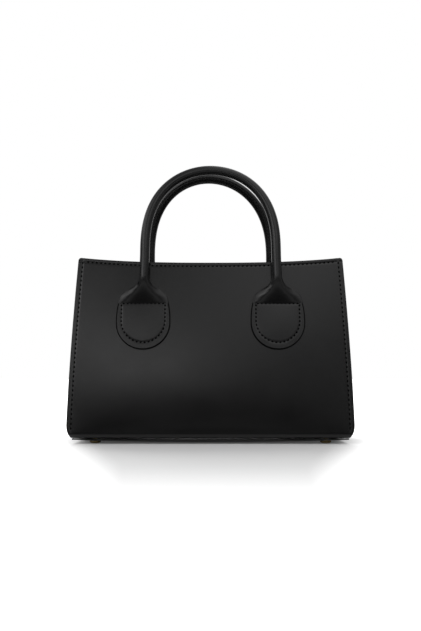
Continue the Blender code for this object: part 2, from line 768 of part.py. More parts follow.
def handle_ring(side, station, shrink):
    """One section of a handle, with the wall taken off if asked."""
    x, rise, stand, angle, spread, body = station
    mouth = 1.0 - smooth(rise / (FLARE_HEIGHT * FLARE_MOUTH_RISE_SHARE))
    wall = shrink * (TUBE_WALL + (FLARE_MOUTH_WALL - TUBE_WALL) * mouth)
    points = []
    for number in range(TUBE_SIDES):
        turn = math.tau * (number + 0.5) / TUBE_SIDES
        flat = (spread - wall * (FLAT_WALL_SHARE if spread > body * 2 else 1.0)) * math.cos(turn)
        out = (body - wall) * math.sin(turn)
        points.append(handle_point(side, x + flat * math.sin(angle), rise - flat * math.cos(angle),
                                   stand + out))
    return points


def handle_sleeve(name, side):
    """The rolled leather of a handle: a tube whose ends spread into flat mouths at the hinges."""
    route = handle_route()
    bm = bmesh.new()
    outer = extruded_rings(bm, [handle_ring(side, station, 0.0) for station in route], False)
    inner = extruded_rings(bm, [handle_ring(side, station, 1.0) for station in route], False)
    for outer_edges, inner_edges in zip(outer, inner):
        join_rims(bm, outer_edges, inner_edges)
    sleeve = finish_solid(bm, name, faux_leather(name + "_finish"))
    move_origin(sleeve, handle_point(side, 0.0, 0.0, HINGE_STAND_OFF))
    sleeve.data.shade_smooth()
    sleeve.data.set_sharp_from_angle(angle=SHARP_ANGLE)
    return sleeve


def move_origin(item, place):
    """Put an object's origin on its hinge axis, with the mesh left where it is."""
    item.data.transform(Matrix.Translation(-place))
    item.location = place


def handle_core(name, side):
    """The cord that fills a handle, from neck to neck."""
    pivot = handle_point(side, 0.0, 0.0, HINGE_STAND_OFF)
    route = [station for station in handle_route() if station[1] >= CORE_START]
    curve = bpy.data.curves.new(name, 'CURVE')
    curve.dimensions = '3D'
    curve.bevel_depth = TUBE_WIDTH / 2 - TUBE_WALL - CLEARANCE
    curve.bevel_resolution = CORE_SIDE_STEPS
    curve.use_fill_caps = True
    spline = curve.splines.new('POLY')
    spline.points.add(len(route) - 1)
    for point, (x, rise, stand, _, _, _) in zip(spline.points, route):
        point.co = (*(handle_point(side, x, rise, stand) - pivot), 1.0)
    curve.materials.append(cotton_cord(name + "_finish"))
    item = bpy.data.objects.new(name, curve)
    bpy.context.scene.collection.objects.link(item)
    item.location = pivot
    return item


def lining_foot():
    """Where the wall linings start, just over the base lining."""
    level = BASE_LINING_FLOOR + LINING + CLEARANCE
    return (level - SEAM_LEVEL) / math.cos(LEAN) - BEND_REACH + LINING_DEPTH * math.tan(LEAN)


def build_walls():
    """Panels, stiffeners, linings and facings of the front and the back."""
    for word, side in (("front", FRONT), ("back", BACK)):
        outer_panel(word + "_panel", side)
        wall_sheet(word + "_stiffener", side, inner_reach, CLEARANCE, STIFFENER_TOP_DROP,
                   STIFFENER_DEPTH, STIFFENER, grey_board(word + "_stiffener_finish"))
        wall_sheet(word + "_lining", side, inner_reach, lining_foot(), LINING_TOP_DROP,
                   LINING_DEPTH, LINING, lining_cloth(word + "_lining_finish"))
        facing(word + "_facing", side)


def build_gussets():
    """Side walls with their linings and facings."""
    for word, hand in (("left", -1), ("right", 1)):
        gusset("gusset_" + word, hand)
        gusset_sheet("gusset_lining_" + word, hand, lining_foot(), GUSSET_LINING_DROP,
                     GUSSET_LINING_GAP, INNER_DEPTH, LINING, lining_cloth("gusset_lining_finish_" + word))
        low = PANEL_REACH - GUSSET_TOP_DROP - FACING_HEIGHT
        gusset_sheet("gusset_facing_" + word, hand, low, TOP_SETBACK, LINING + GUSSET_FACING_GAP,
                     INNER_DEPTH + CLEARANCE, FACING_LEATHER,
                     faux_leather("gusset_facing_finish_" + word))


def build_base():
    """Base panel, board, lining and feet."""
    base_panel()
    base_board()
    half_x = inner_reach(0.0) - LINING
    half_y = BASE_DEPTH / 2 - BEND_REACH - CLEARANCE
    flat_board("base_lining", half_x, half_y, BASE_LINING_FLOOR, BASE_LINING_FLOOR + LINING,
               lining_cloth("base_lining_finish"))
    words = ("front_left", "front_right", "back_left", "back_right")
    for word, (x, y) in zip(words, foot_places()):
        foot("foot_" + word, x, y)
        foot_washer("foot_washer_" + word, x, y)


def build_pocket():
    """The slip pocket on the back lining."""
    def place(across, row, inner):
        station = POCKET_FOOT + POCKET_HEIGHT * row / SHEET_ROWS
        depth = FACING_DEPTH + (POCKET_SHEET if inner else 0.0)
        return wall_point(BACK, across * POCKET_WIDTH / 2, station, depth)

    sheet = thick_grid(SHEET_COLUMNS, SHEET_ROWS, place)
    finish_solid(sheet, "slip_pocket", lining_cloth("slip_pocket_finish"))


def build_snap():
    """The magnetic snap inside the mouth."""
    snap_body("snap_stud", FRONT, True)
    snap_body("snap_socket", BACK, False)
    snap_washer("snap_stud_washer", FRONT)
    snap_washer("snap_socket_washer", BACK)


def build_handles():
    """Tabs, sleeves and cores of the two handles."""
    for word, side in (("front", FRONT), ("back", BACK)):
        for hand_word, hand in (("left", -1), ("right", 1)):
            handle_tab("handle_tab_" + word + "_" + hand_word, side, hand)
        handle_sleeve(word + "_handle_sleeve", side)
        handle_core(word + "_handle_core", side)


def main():
    """Build the whole bag."""
    remove_all_objects()
    build_walls()
    build_gussets()
    build_base()
    build_pocket()
    build_snap()
    build_handles()


main()
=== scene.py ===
"""The looks of a small structured handbag in smooth black faux leather.

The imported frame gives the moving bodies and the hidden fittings. X runs across the bag, Y from its
front to its back and Z up, in metres. The front panel faces the camera and the floor is at zero.
"""

import logging
import math
from collections.abc import Callable, Iterator, Sequence
from dataclasses import dataclass
from enum import Enum

import bmesh
import bpy
from mathutils import Matrix, Vector


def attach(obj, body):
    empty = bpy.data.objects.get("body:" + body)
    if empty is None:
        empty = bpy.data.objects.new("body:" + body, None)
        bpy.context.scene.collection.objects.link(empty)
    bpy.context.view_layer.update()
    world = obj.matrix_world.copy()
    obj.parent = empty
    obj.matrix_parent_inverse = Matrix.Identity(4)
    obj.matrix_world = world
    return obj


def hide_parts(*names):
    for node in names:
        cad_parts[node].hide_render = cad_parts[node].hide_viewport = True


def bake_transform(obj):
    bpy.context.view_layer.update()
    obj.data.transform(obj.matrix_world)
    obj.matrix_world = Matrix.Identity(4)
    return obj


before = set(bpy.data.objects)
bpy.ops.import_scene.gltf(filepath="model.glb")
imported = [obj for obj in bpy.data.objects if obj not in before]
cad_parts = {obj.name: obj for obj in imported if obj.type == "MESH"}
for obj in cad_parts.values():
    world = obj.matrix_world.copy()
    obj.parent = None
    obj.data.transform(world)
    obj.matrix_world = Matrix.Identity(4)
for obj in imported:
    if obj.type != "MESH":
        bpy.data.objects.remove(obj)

log = logging.getLogger("handbag")

# A place gives a point from two shares, a line holds flat points, and a route holds points in space
# with the direction that each of them faces.
Place = Callable[[float, float], Vector]
Triple = tuple[float, float, float]
Line = Sequence[tuple[float, float]]
Route = list[tuple[Vector, Vector]]
Piece = bpy.types.Object
Socket = bpy.types.NodeSocket

LATHE_SIDES = 48


class Half(Enum):
    """What the halves of the bag have in common."""

    @property
    def word(self) -> str:
        """The half's name as it stands in the names of pieces."""
        return self.name.lower()


class Side(Half):
    """The two large faces of the bag."""

    FRONT = -1
    BACK = 1


class Hand(Half):
    """The left and the right half, as seen from the front."""

    LEFT = -1
    RIGHT = 1


def smooth(value: float) -> float:
    """Ease a value from zero to one; what lies outside them is clamped."""
    value = min(max(value, 0.0), 1.0)
    return value * value * (3.0 - 2.0 * value)


def mix(first: float, second: float, share: float) -> float:
    """Go a share of the way from the first number to the second."""
    return first + (second - first) * share


def curve_through(anchors: Line, value: float) -> float:
    """Read a smooth curve through a few points.

    Args:
        anchors: Pairs of place and height, in rising order of place.
        value: Where the curve is read.

    Returns:
        The height there, level beyond both ends.
    """
    if value <= anchors[0][0]:
        return anchors[0][1]
    if value >= anchors[-1][0]:
        return anchors[-1][1]
    index = next(i for i, (place, _) in enumerate(anchors) if place > value) - 1
    slopes = [0.0]
    for before, after in zip(anchors, anchors[2:]):
        slopes.append((after[1] - before[1]) / (after[0] - before[0]))
    slopes.append(0.0)
    (x0, y0), (x1, y1) = anchors[index], anchors[index + 1]
    span = x1 - x0
    share = (value - x0) / span
    start, end = slopes[index] * span, slopes[index + 1] * span
    rise = y1 - y0
    bend, twist = 3 * rise - 2 * start - end, start + end - 2 * rise
    return y0 + share * (start + share * (bend + share * twist))


def spread(low: float, high: float, steps: int) -> list[float]:
    """Evenly spread numbers, both ends included."""
    return [mix(low, high, step / steps) for step in range(steps + 1)]


def running_lengths(points: Sequence[Vector]) -> list[float]:
    """How far along its line each point lies.

    Args:
        points: The line's points.

    Returns:
        A length for each point.
    """
    lengths = [0.0]
    for before, after in zip(points, points[1:]):
        lengths.append(lengths[-1] + (after - before).length)
    return lengths


def walk(lengths: Sequence[float], goals: Sequence[float]) -> Iterator[tuple[int, float]]:
    """Find places along a line that is cut in short stretches.

    Args:
        lengths: How far along the line each of its points lies.
        goals: The places that are wanted, in rising order.

    Yields:
        The number of the stretch, and the share of it, for each place.
    """
    index = 0
    for goal in goals:
        while index < len(lengths) - 2 and lengths[index + 1] < goal:
            index += 1
        yield index, (goal - lengths[index]) / max(lengths[index + 1] - lengths[index], 1e-9)


@dataclass(frozen=True)
class BodyShape:
    """Sizes of the bag's body and the surfaces that its pieces follow."""

    base_width: float = 0.270
    top_width: float = 0.257
    base_depth: float = 0.105
    top_depth: float = 0.060
    height: float = 0.173
    seam_level: float = 0.0055
    top_dip: float = 0.0051
    dip_power: float = 2.6
    side_power: float = 1.6
    crown_depth: float = 0.0015
    belly_depth: float = 0.00170
    belly_level: float = 0.29
    belly_spread: float = 0.75
    belly_power: float = 1.5
    bend_radius: float = 0.0040
    bottom_corner: float = 0.0210
    bottom_corner_rise: float = 0.0127
    top_corner: float = 0.0026
    hem: float = 0.0050
    leather: float = 0.0012
    flange: float = 0.0060
    seam_play: float = 0.0003
    fold: float = 0.0050
    gusset_top_drop: float = 0.0030
    gusset_top_dip: float = 0.0060
    gusset_dip_power: float = 4.0
    side_stitch_inset: float = 0.0043
    top_stitch_inset: float = 0.0035
    stitch_groove: float = 0.00022
    groove_width: float = 0.0009

    @property
    def lean(self) -> float:
        """How far the panels lean in, in radians."""
        return math.atan((self.base_depth - self.top_depth) / 2 / self.height)

    @property
    def bend_reach(self) -> float:
        """How far up the slope the bottom bend ends."""
        return self.bend_radius * math.tan((math.pi / 2 + self.lean) / 2)

    @property
    def reach(self) -> float:
        """The length of the slope from the bend to the top corners."""
        return self.height / math.cos(self.lean) - self.bend_reach

    @property
    def flange_depth(self) -> float:
        """The visible face of the side wall's flange, under the panel's plane."""
        return self.leather * 2 + self.seam_play

    def up(self, station: float) -> float:
        """The share of the slope that lies under a station."""
        return min(max(station / self.reach, 0.0), 1.0)

    def half_width(self, station: float) -> float:
        """Half of the panel's width at a station up the slope."""
        taper = (self.base_width - self.top_width) / 2
        return self.base_width / 2 - taper * self.up(station) ** self.side_power

    def top_station(self, x: float) -> float:
        """Where the dipped top edge crosses the slope."""
        share = min(abs(x) / (self.top_width / 2), 1.0)
        return self.reach - self.top_dip * (1.0 - share**self.dip_power)

    def corner_inset(self, level: float) -> float:
        """How far the rounded bottom corners draw the edge in at a height."""
        sweep = max(self.bottom_corner_rise - (level - self.seam_level), 0.0)
        return self.bottom_corner - math.sqrt(self.bottom_corner**2 - sweep**2)

    def top_inset(self, x: float, station: float) -> float:
        """How far the small round top corners draw the edge in.

        Args:
            x: The place across.
            station: The way up the slope.

        Returns:
            The inset, which is none away from the corners.
        """
        gap = self.top_corner - (self.top_station(x) - station)
        if gap <= 0.0:
            return 0.0
        return self.top_corner - math.sqrt(max(self.top_corner**2 - gap**2, 0.0))

    def belly(self, x: float, station: float) -> float:
        """How far the soft leather stands out from the panel's plane.

        Args:
            x: The place across.
            station: The way up the slope.

        Returns:
            The distance.
        """
        across = max(1.0 - (x / (self.base_width / 2)) ** 2, 0.0)
        up = self.up(station)
        power = math.log(0.5) / math.log(self.belly_level)
        wide = self.crown_depth * across * 4 * up * (1.0 - up)
        swell = math.sin(math.pi * up**power) ** self.belly_power
        return wide + self.belly_depth * across**self.belly_spread * swell

    def groove(self, distance: float) -> float:
        """The dent that a row of stitches pulls into the leather."""
        return self.stitch_groove * math.exp(-((distance / self.groove_width) ** 2))

    def plane_point(self, side: Side, x: float, station: float, depth: float) -> Vector:
        """A point under the panel's flat plane.

        Args:
            side: The front or the back.
            x: The place across.
            station: The way up the slope from where the bottom bend ends.
            depth: The way in from the plane.

        Returns:
            The point in the bag's frame.
        """
        run = self.bend_reach + station
        y = -self.base_depth / 2 + run * math.sin(self.lean) + depth * math.cos(self.lean)
        z = self.seam_level + run * math.cos(self.lean) - depth * math.sin(self.lean)
        return Vector((x, y * -side.value, z))

    def level(self, station: float) -> float:
        """The height of a station of the flat plane."""
        return self.seam_level + (self.bend_reach + station) * math.cos(self.lean)

    def wall_point(self, side: Side, x: float, station: float, depth: float) -> Vector:
        """A point under the panel's soft outer face."""
        return self.plane_point(side, x, station, depth - self.belly(x, station))

    def bend_point(self, side: Side, x: float, angle: float, depth: float) -> Vector:
        """A point in the bend that turns the panel under the bag.

        Args:
            side: The front or the back.
            x: The place across.
            angle: How far the panel has turned under, in radians.
            depth: The way in from its outer face.

        Returns:
            The point.
        """
        reach = self.bend_radius - depth
        y = -self.base_depth / 2 + self.bend_reach - reach * math.cos(self.lean - angle)
        z = self.seam_level + self.bend_radius + reach * math.sin(self.lean - angle)
        return Vector((x, y * -side.value, z))

    def gusset_x(self, station: float) -> float:
        """The outer face of the side walls before their soft fold."""
        return self.half_width(station) - self.flange

    def gusset_fold(self, across: float, station: float) -> float:
        """How far the side wall folds in, from minus one to one across it."""
        return self.fold * (1.0 - across**2) ** 2 * math.sin(math.pi * self.up(station) / 2) ** 2

    def gusset_drop(self, across: float, station: float) -> float:
        """How far the top edge of the side wall dips between the panels."""
        return self.gusset_top_dip * (1.0 - across**2) * self.up(station) ** self.gusset_dip_power

    def outward(self, side: Side) -> Vector:
        """The direction that a panel faces."""
        return Vector((0.0, side.value * math.cos(self.lean), math.sin(self.lean)))


def select_only(item: Piece) -> None:
    """Make one object the only one that operators act on.

    Args:
        item: The object.
    """
    bpy.ops.object.select_all(action="DESELECT")
    bpy.context.view_layer.objects.active = item
    item.select_set(True)


def open_edit(item: Piece) -> None:
    """Open one object in edit mode, with all of its mesh selected.

    Args:
        item: The object.
    """
    select_only(item)
    bpy.ops.object.mode_set(mode="EDIT")
    bpy.ops.mesh.select_all(action="SELECT")


def close_edit() -> None:
    """Go back to object mode."""
    bpy.ops.object.mode_set(mode="OBJECT")


def apply_modifier(item: Piece, kind: str, **settings: object) -> None:
    """Add a modifier, set it and apply it.

    Args:
        item: The object.
        kind: The modifier's type.
        settings: Its properties.
    """
    select_only(item)
    modifier = item.modifiers.new(kind.lower(), kind)
    for key, value in settings.items():
        setattr(modifier, key, value)
    bpy.ops.object.modifier_apply(modifier=modifier.name)


def shade(item: Piece, angle: float) -> Piece:
    """Shade an object smooth, sharp only over an angle in degrees.

    Args:
        item: The object.
        angle: The least angle of a sharp edge.

    Returns:
        The same object.
    """
    select_only(item)
    bpy.ops.object.shade_smooth_by_angle(angle=math.radians(angle))
    return item


def face_outwards(item: Piece, outward: Vector) -> None:
    """Turn an open sheet over if it faces the wrong way.

    Args:
        item: The sheet.
        outward: The way that most of it has to face.
    """
    total = Vector((0.0, 0.0, 0.0))
    for polygon in item.data.polygons:
        total += polygon.normal * polygon.area
    if total.dot(outward) < 0.0:
        open_edit(item)
        bpy.ops.mesh.flip_normals()
        close_edit()


def close_tube(item: Piece) -> None:
    """Weld a rolled up grid along its seam, fill its two ends and turn its faces outwards.

    Args:
        item: The grid.
    """
    open_edit(item)
    bpy.ops.mesh.remove_doubles(threshold=0.000001)
    bpy.ops.mesh.select_all(action="DESELECT")
    bpy.ops.mesh.select_mode(type="EDGE")
    bpy.ops.mesh.select_non_manifold()
    bpy.ops.mesh.fill_holes(sides=0)
    bpy.ops.mesh.select_all(action="SELECT")
    bpy.ops.mesh.normals_make_consistent(inside=False)
    bpy.ops.mesh.select_mode(type="VERT")
    close_edit()


def grid(name: str, columns: int, rows: int, place: Place, span: tuple[float, float]) -> Piece:
    """Add a grid and lay each of its points.

    Args:
        name: The piece's name.
        columns: Cells across.
        rows: Cells along.
        place: Gives a point from two shares between minus one and one.
        span: The sheet's real size, which its UV map keeps in metres.

    Returns:
        The new object, whose place is in its mesh.
    """
    bpy.ops.object.select_all(action="DESELECT")
    bpy.ops.mesh.primitive_grid_add(
        x_subdivisions=columns, y_subdivisions=rows, size=2.0, calc_uvs=True
    )
    item = bpy.context.active_object
    item.name = name
    item.data.name = name
    for point in item.data.vertices:
        point.co = place(point.co.x, point.co.y)
    for corner in item.data.uv_layers[0].data:
        corner.uv = (corner.uv[0] * span[0], corner.uv[1] * span[1])
    return item


def sheet(
    name: str,
    columns: int,
    rows: int,
    place: Place,
    thickness: float,
    outward: Vector,
    span: tuple[float, float],
    edge: float = 0.00025,
) -> Piece:
    """Model a sheet of leather, cloth or board with rounded edges.

    Args:
        name: The piece's name.
        columns: Cells across.
        rows: Cells along.
        place: Gives a point of the outer face from two shares.
        thickness: How far the sheet reaches behind its outer face.
        outward: The way that the outer face looks.
        span: The sheet's real size in metres.
        edge: The radius of its rounded edges.

    Returns:
        The finished object.
    """
    item = grid(name, columns, rows, place, span)
    face_outwards(item, outward)
    apply_modifier(item, "SOLIDIFY", thickness=thickness, offset=-1.0, use_even_offset=True)
    if edge > 0.0:
        apply_modifier(
            item,
            "BEVEL",
            width=edge,
            segments=2,
            limit_method="ANGLE",
            angle_limit=math.radians(60.0),
            use_clamp_overlap=False,
        )
    return shade(item, 50.0)


def sweep(name: str, route: Route, profile: Line) -> Piece:
    """Sweep a closed profile along a route.

    Args:
        name: The piece's name.
        route: Points with the direction in which the profile's first axis looks.
        profile: Points of the closed profile, along that direction and across it.

    Returns:
        The finished object, closed at both ends.
    """
    count, last = len(profile), len(route) - 1

    def place(u: float, v: float) -> Vector:
        """A point of the tube."""
        index = round((v + 1.0) / 2 * last)
        out, across = profile[round((u + 1.0) / 2 * count) % count]
        point, normal = route[index]
        along = (route[min(index + 1, last)][0] - route[max(index - 1, 0)][0]).normalized()
        return point + normal * out + along.cross(normal).normalized() * across

    item = grid(name, count, last, place, (1.0, 1.0))
    close_tube(item)
    return shade(item, 50.0)


def lathe(name: str, profile: Line, matrix: Matrix) -> Piece:
    """Turn a round body by extruding a disc up its profile.

    Args:
        name: The piece's name.
        profile: Radius and height of each ring, from the low cap to the high one.
        matrix: Where the body goes, with its axis along Z.

    Returns:
        The finished object.
    """
    bpy.ops.object.select_all(action="DESELECT")
    radius, height = profile[0]
    bpy.ops.mesh.primitive_circle_add(
        vertices=LATHE_SIDES, radius=radius, fill_type="NGON", location=(0.0, 0.0, 0.0)
    )
    item = bpy.context.active_object
    item.name = name
    item.data.name = name
    open_edit(item)
    for next_radius, next_height in profile[1:]:
        step = (0.0, 0.0, next_height - height)
        bpy.ops.mesh.extrude_region_move(TRANSFORM_OT_translate={"value": step})
        share = next_radius / radius
        bpy.ops.transform.resize(value=(share, share, 1.0), center_override=(0.0, 0.0, 0.0))
        radius, height = next_radius, next_height
    bpy.ops.mesh.select_all(action="SELECT")
    bpy.ops.mesh.normals_make_consistent(inside=False)
    close_edit()
    item.data.transform(matrix @ Matrix.Translation((0.0, 0.0, profile[0][1])))
    return shade(item, 35.0)


@dataclass(frozen=True)
class Stitching:
    """A row of lock stitches, one modelled and the rest copied."""

    pitch: float = 0.0042
    length: float = 0.0034
    width: float = 0.00165
    height: float = 0.00070
    slant: float = 0.10
    sides: int = 6
    fullness: float = 2.6
    thin_end: float = 0.04
    arch: float = 0.35
    dive: float = 0.30

    def model(self) -> bpy.types.Mesh:
        """Model one stitch: a short thread whose ends dive into their holes.

        Returns:
            Its mesh.
        """
        bpy.ops.object.select_all(action="DESELECT")
        bpy.ops.mesh.primitive_cylinder_add(
            vertices=self.sides, radius=0.5, depth=1.0, end_fill_type="NGON"
        )
        item = bpy.context.active_object
        open_edit(item)
        bpy.ops.mesh.subdivide(number_cuts=2)
        close_edit()
        for point in item.data.vertices:
            along = point.co.z * 2.0
            round_off = math.sqrt(max(1.0 - abs(along) ** self.fullness, self.thin_end))
            lift = (1.0 - along**2) * self.height * self.arch - self.height * self.dive
            point.co = (
                along * self.length / 2,
                point.co.x * self.width * round_off,
                point.co.y * self.height * round_off + lift,
            )
        mesh = item.data
        bpy.data.objects.remove(item)
        return mesh

    def row(self, name: str, routes: Sequence[Route]) -> Piece:
        """Lay stitches along some routes, each turned a little off its line.

        Args:
            name: The piece's name.
            routes: Lines of points with the surface's normals.

        Returns:
            One object that holds the whole row.
        """
        model = self.model()
        joined = bmesh.new()
        for route in routes:
            for matrix in self.places(route):
                copy = model.copy()
                copy.transform(matrix)
                joined.from_mesh(copy)
                bpy.data.meshes.remove(copy)
        mesh = bpy.data.meshes.new(name)
        joined.to_mesh(mesh)
        joined.free()
        bpy.data.meshes.remove(model)
        item = bpy.data.objects.new(name, mesh)
        bpy.context.scene.collection.objects.link(item)
        return shade(item, 60.0)

    def places(self, route: Route) -> list[Matrix]:
        """Where each stitch of a line goes.

        Args:
            route: The line's points with the surface's normals.

        Returns:
            One matrix for each stitch.
        """
        lengths = running_lengths([point for point, _ in route])
        count = max(round(lengths[-1] / self.pitch), 1)
        goals = [lengths[-1] * (number + 0.5) / count for number in range(count)]
        places = []
        for index, share in walk(lengths, goals):
            (point, normal), (following, next_normal) = route[index], route[index + 1]
            up = normal.lerp(next_normal, share).normalized()
            along = (following - point).normalized()
            across = up.cross(along).normalized()
            along = across.cross(up)
            turned = Matrix((along, across, up)).transposed().to_4x4()
            turned = turned @ Matrix.Rotation(self.slant, 4, "Z")
            turned.translation = point.lerp(following, share)
            places.append(turned)
        return places


SHAPE = BodyShape()


class Wiring:
    """Adds and joins nodes in one tree."""

    def __init__(self, tree: bpy.types.NodeTree) -> None:
        """Keep the tree that the nodes go into."""
        self.tree = tree

    def add(self, kind: str, inputs: dict[str | int, object], **settings: object) -> bpy.types.Node:
        """Add a node.

        Args:
            kind: Its type, without the common first word.
            inputs: Values or sockets for its inputs.
            settings: Its properties.

        Returns:
            The node.
        """
        node = self.tree.nodes.new("ShaderNode" + kind)
        for key, value in settings.items():
            setattr(node, key, value)
        for key, value in inputs.items():
            self.feed(node.inputs[key], value)
        return node

    def feed(self, socket: Socket, value: object) -> None:
        """Give a socket a number, a colour or another socket's result.

        Args:
            socket: The input.
            value: What goes into it.
        """
        if isinstance(value, bpy.types.NodeSocket):
            self.tree.links.new(value, socket)
        else:
            socket.default_value = value

    def math(self, operation: str, *values: object) -> Socket:
        """Add a maths node and return its result."""
        return self.add("Math", dict(enumerate(values)), operation=operation).outputs[0]

    def ramp(self, value: Socket, low: float, high: float, first: float, last: float) -> Socket:
        """Stretch a value from one range to another, eased and clamped.

        Args:
            value: What is read.
            low: Where the range starts.
            high: Where it ends.
            first: The result at the start.
            last: The result at the end.

        Returns:
            The result.
        """
        ends = {"From Min": low, "From Max": high, "To Min": first, "To Max": last}
        node = self.add("MapRange", {"Value": value, **ends}, interpolation_type="SMOOTHSTEP")
        return node.outputs["Result"]

    def coords(self, name: str) -> Socket:
        """One of the piece's own coordinates."""
        return self.add("TexCoord", {}).outputs[name]

    def split(self, vector: Socket) -> bpy.types.NodeOutputs:
        """The X, Y and Z of a vector."""
        return self.add("SeparateXYZ", {"Vector": vector}).outputs

    def mapped(self, vector: Socket, **settings: Sequence[float]) -> Socket:
        """Turn or stretch coordinates."""
        return self.add("Mapping", {"Vector": vector, **settings}).outputs[0]

    def length(self, vector: Socket) -> Socket:
        """The length of a vector."""
        return self.add("VectorMath", {0: vector}, operation="LENGTH").outputs["Value"]

    def distance(self, vector: Socket, spot: Sequence[float]) -> Socket:
        """The distance from a spot."""
        return self.add("VectorMath", {0: vector, 1: spot}, operation="DISTANCE").outputs["Value"]

    def bump(self, height: Socket, strength: float, depth: float) -> Socket:
        """The normal of a surface with a fine relief."""
        inputs = {"Height": height, "Strength": strength, "Distance": depth}
        return self.add("Bump", inputs).outputs["Normal"]

    def noise(self, vector: Socket, scale: object, detail: float, roughness: float = 0.5) -> Socket:
        """Add a noise texture and return its value."""
        inputs = {"Vector": vector, "Scale": scale, "Detail": detail, "Roughness": roughness}
        return self.add("TexNoise", inputs).outputs["Fac"]

    def cells(self, vector: Socket, scale: object, feature: str = "F1") -> Socket:
        """Add a cell texture and return its distance."""
        inputs = {"Vector": vector, "Scale": scale}
        return self.add("TexVoronoi", inputs, feature=feature).outputs["Distance"]

    def blend(self, share: object, first: Sequence[float], second: Sequence[float]) -> Socket:
        """Mix two colours.

        Args:
            share: The share of the second colour.
            first: The first colour.
            second: The second colour.

        Returns:
            The mixed colour.
        """
        node = self.tree.nodes.new("ShaderNodeMix")
        node.data_type = "RGBA"
        self.feed(node.inputs[0], share)
        node.inputs[6].default_value = (*first, 1.0)
        node.inputs[7].default_value = (*second, 1.0)
        return node.outputs[2]

    def group(self, tree: bpy.types.NodeTree, **inputs: object) -> bpy.types.NodeOutputs:
        """Place a shared group with its own values."""
        return self.add("Group", inputs, node_tree=tree).outputs


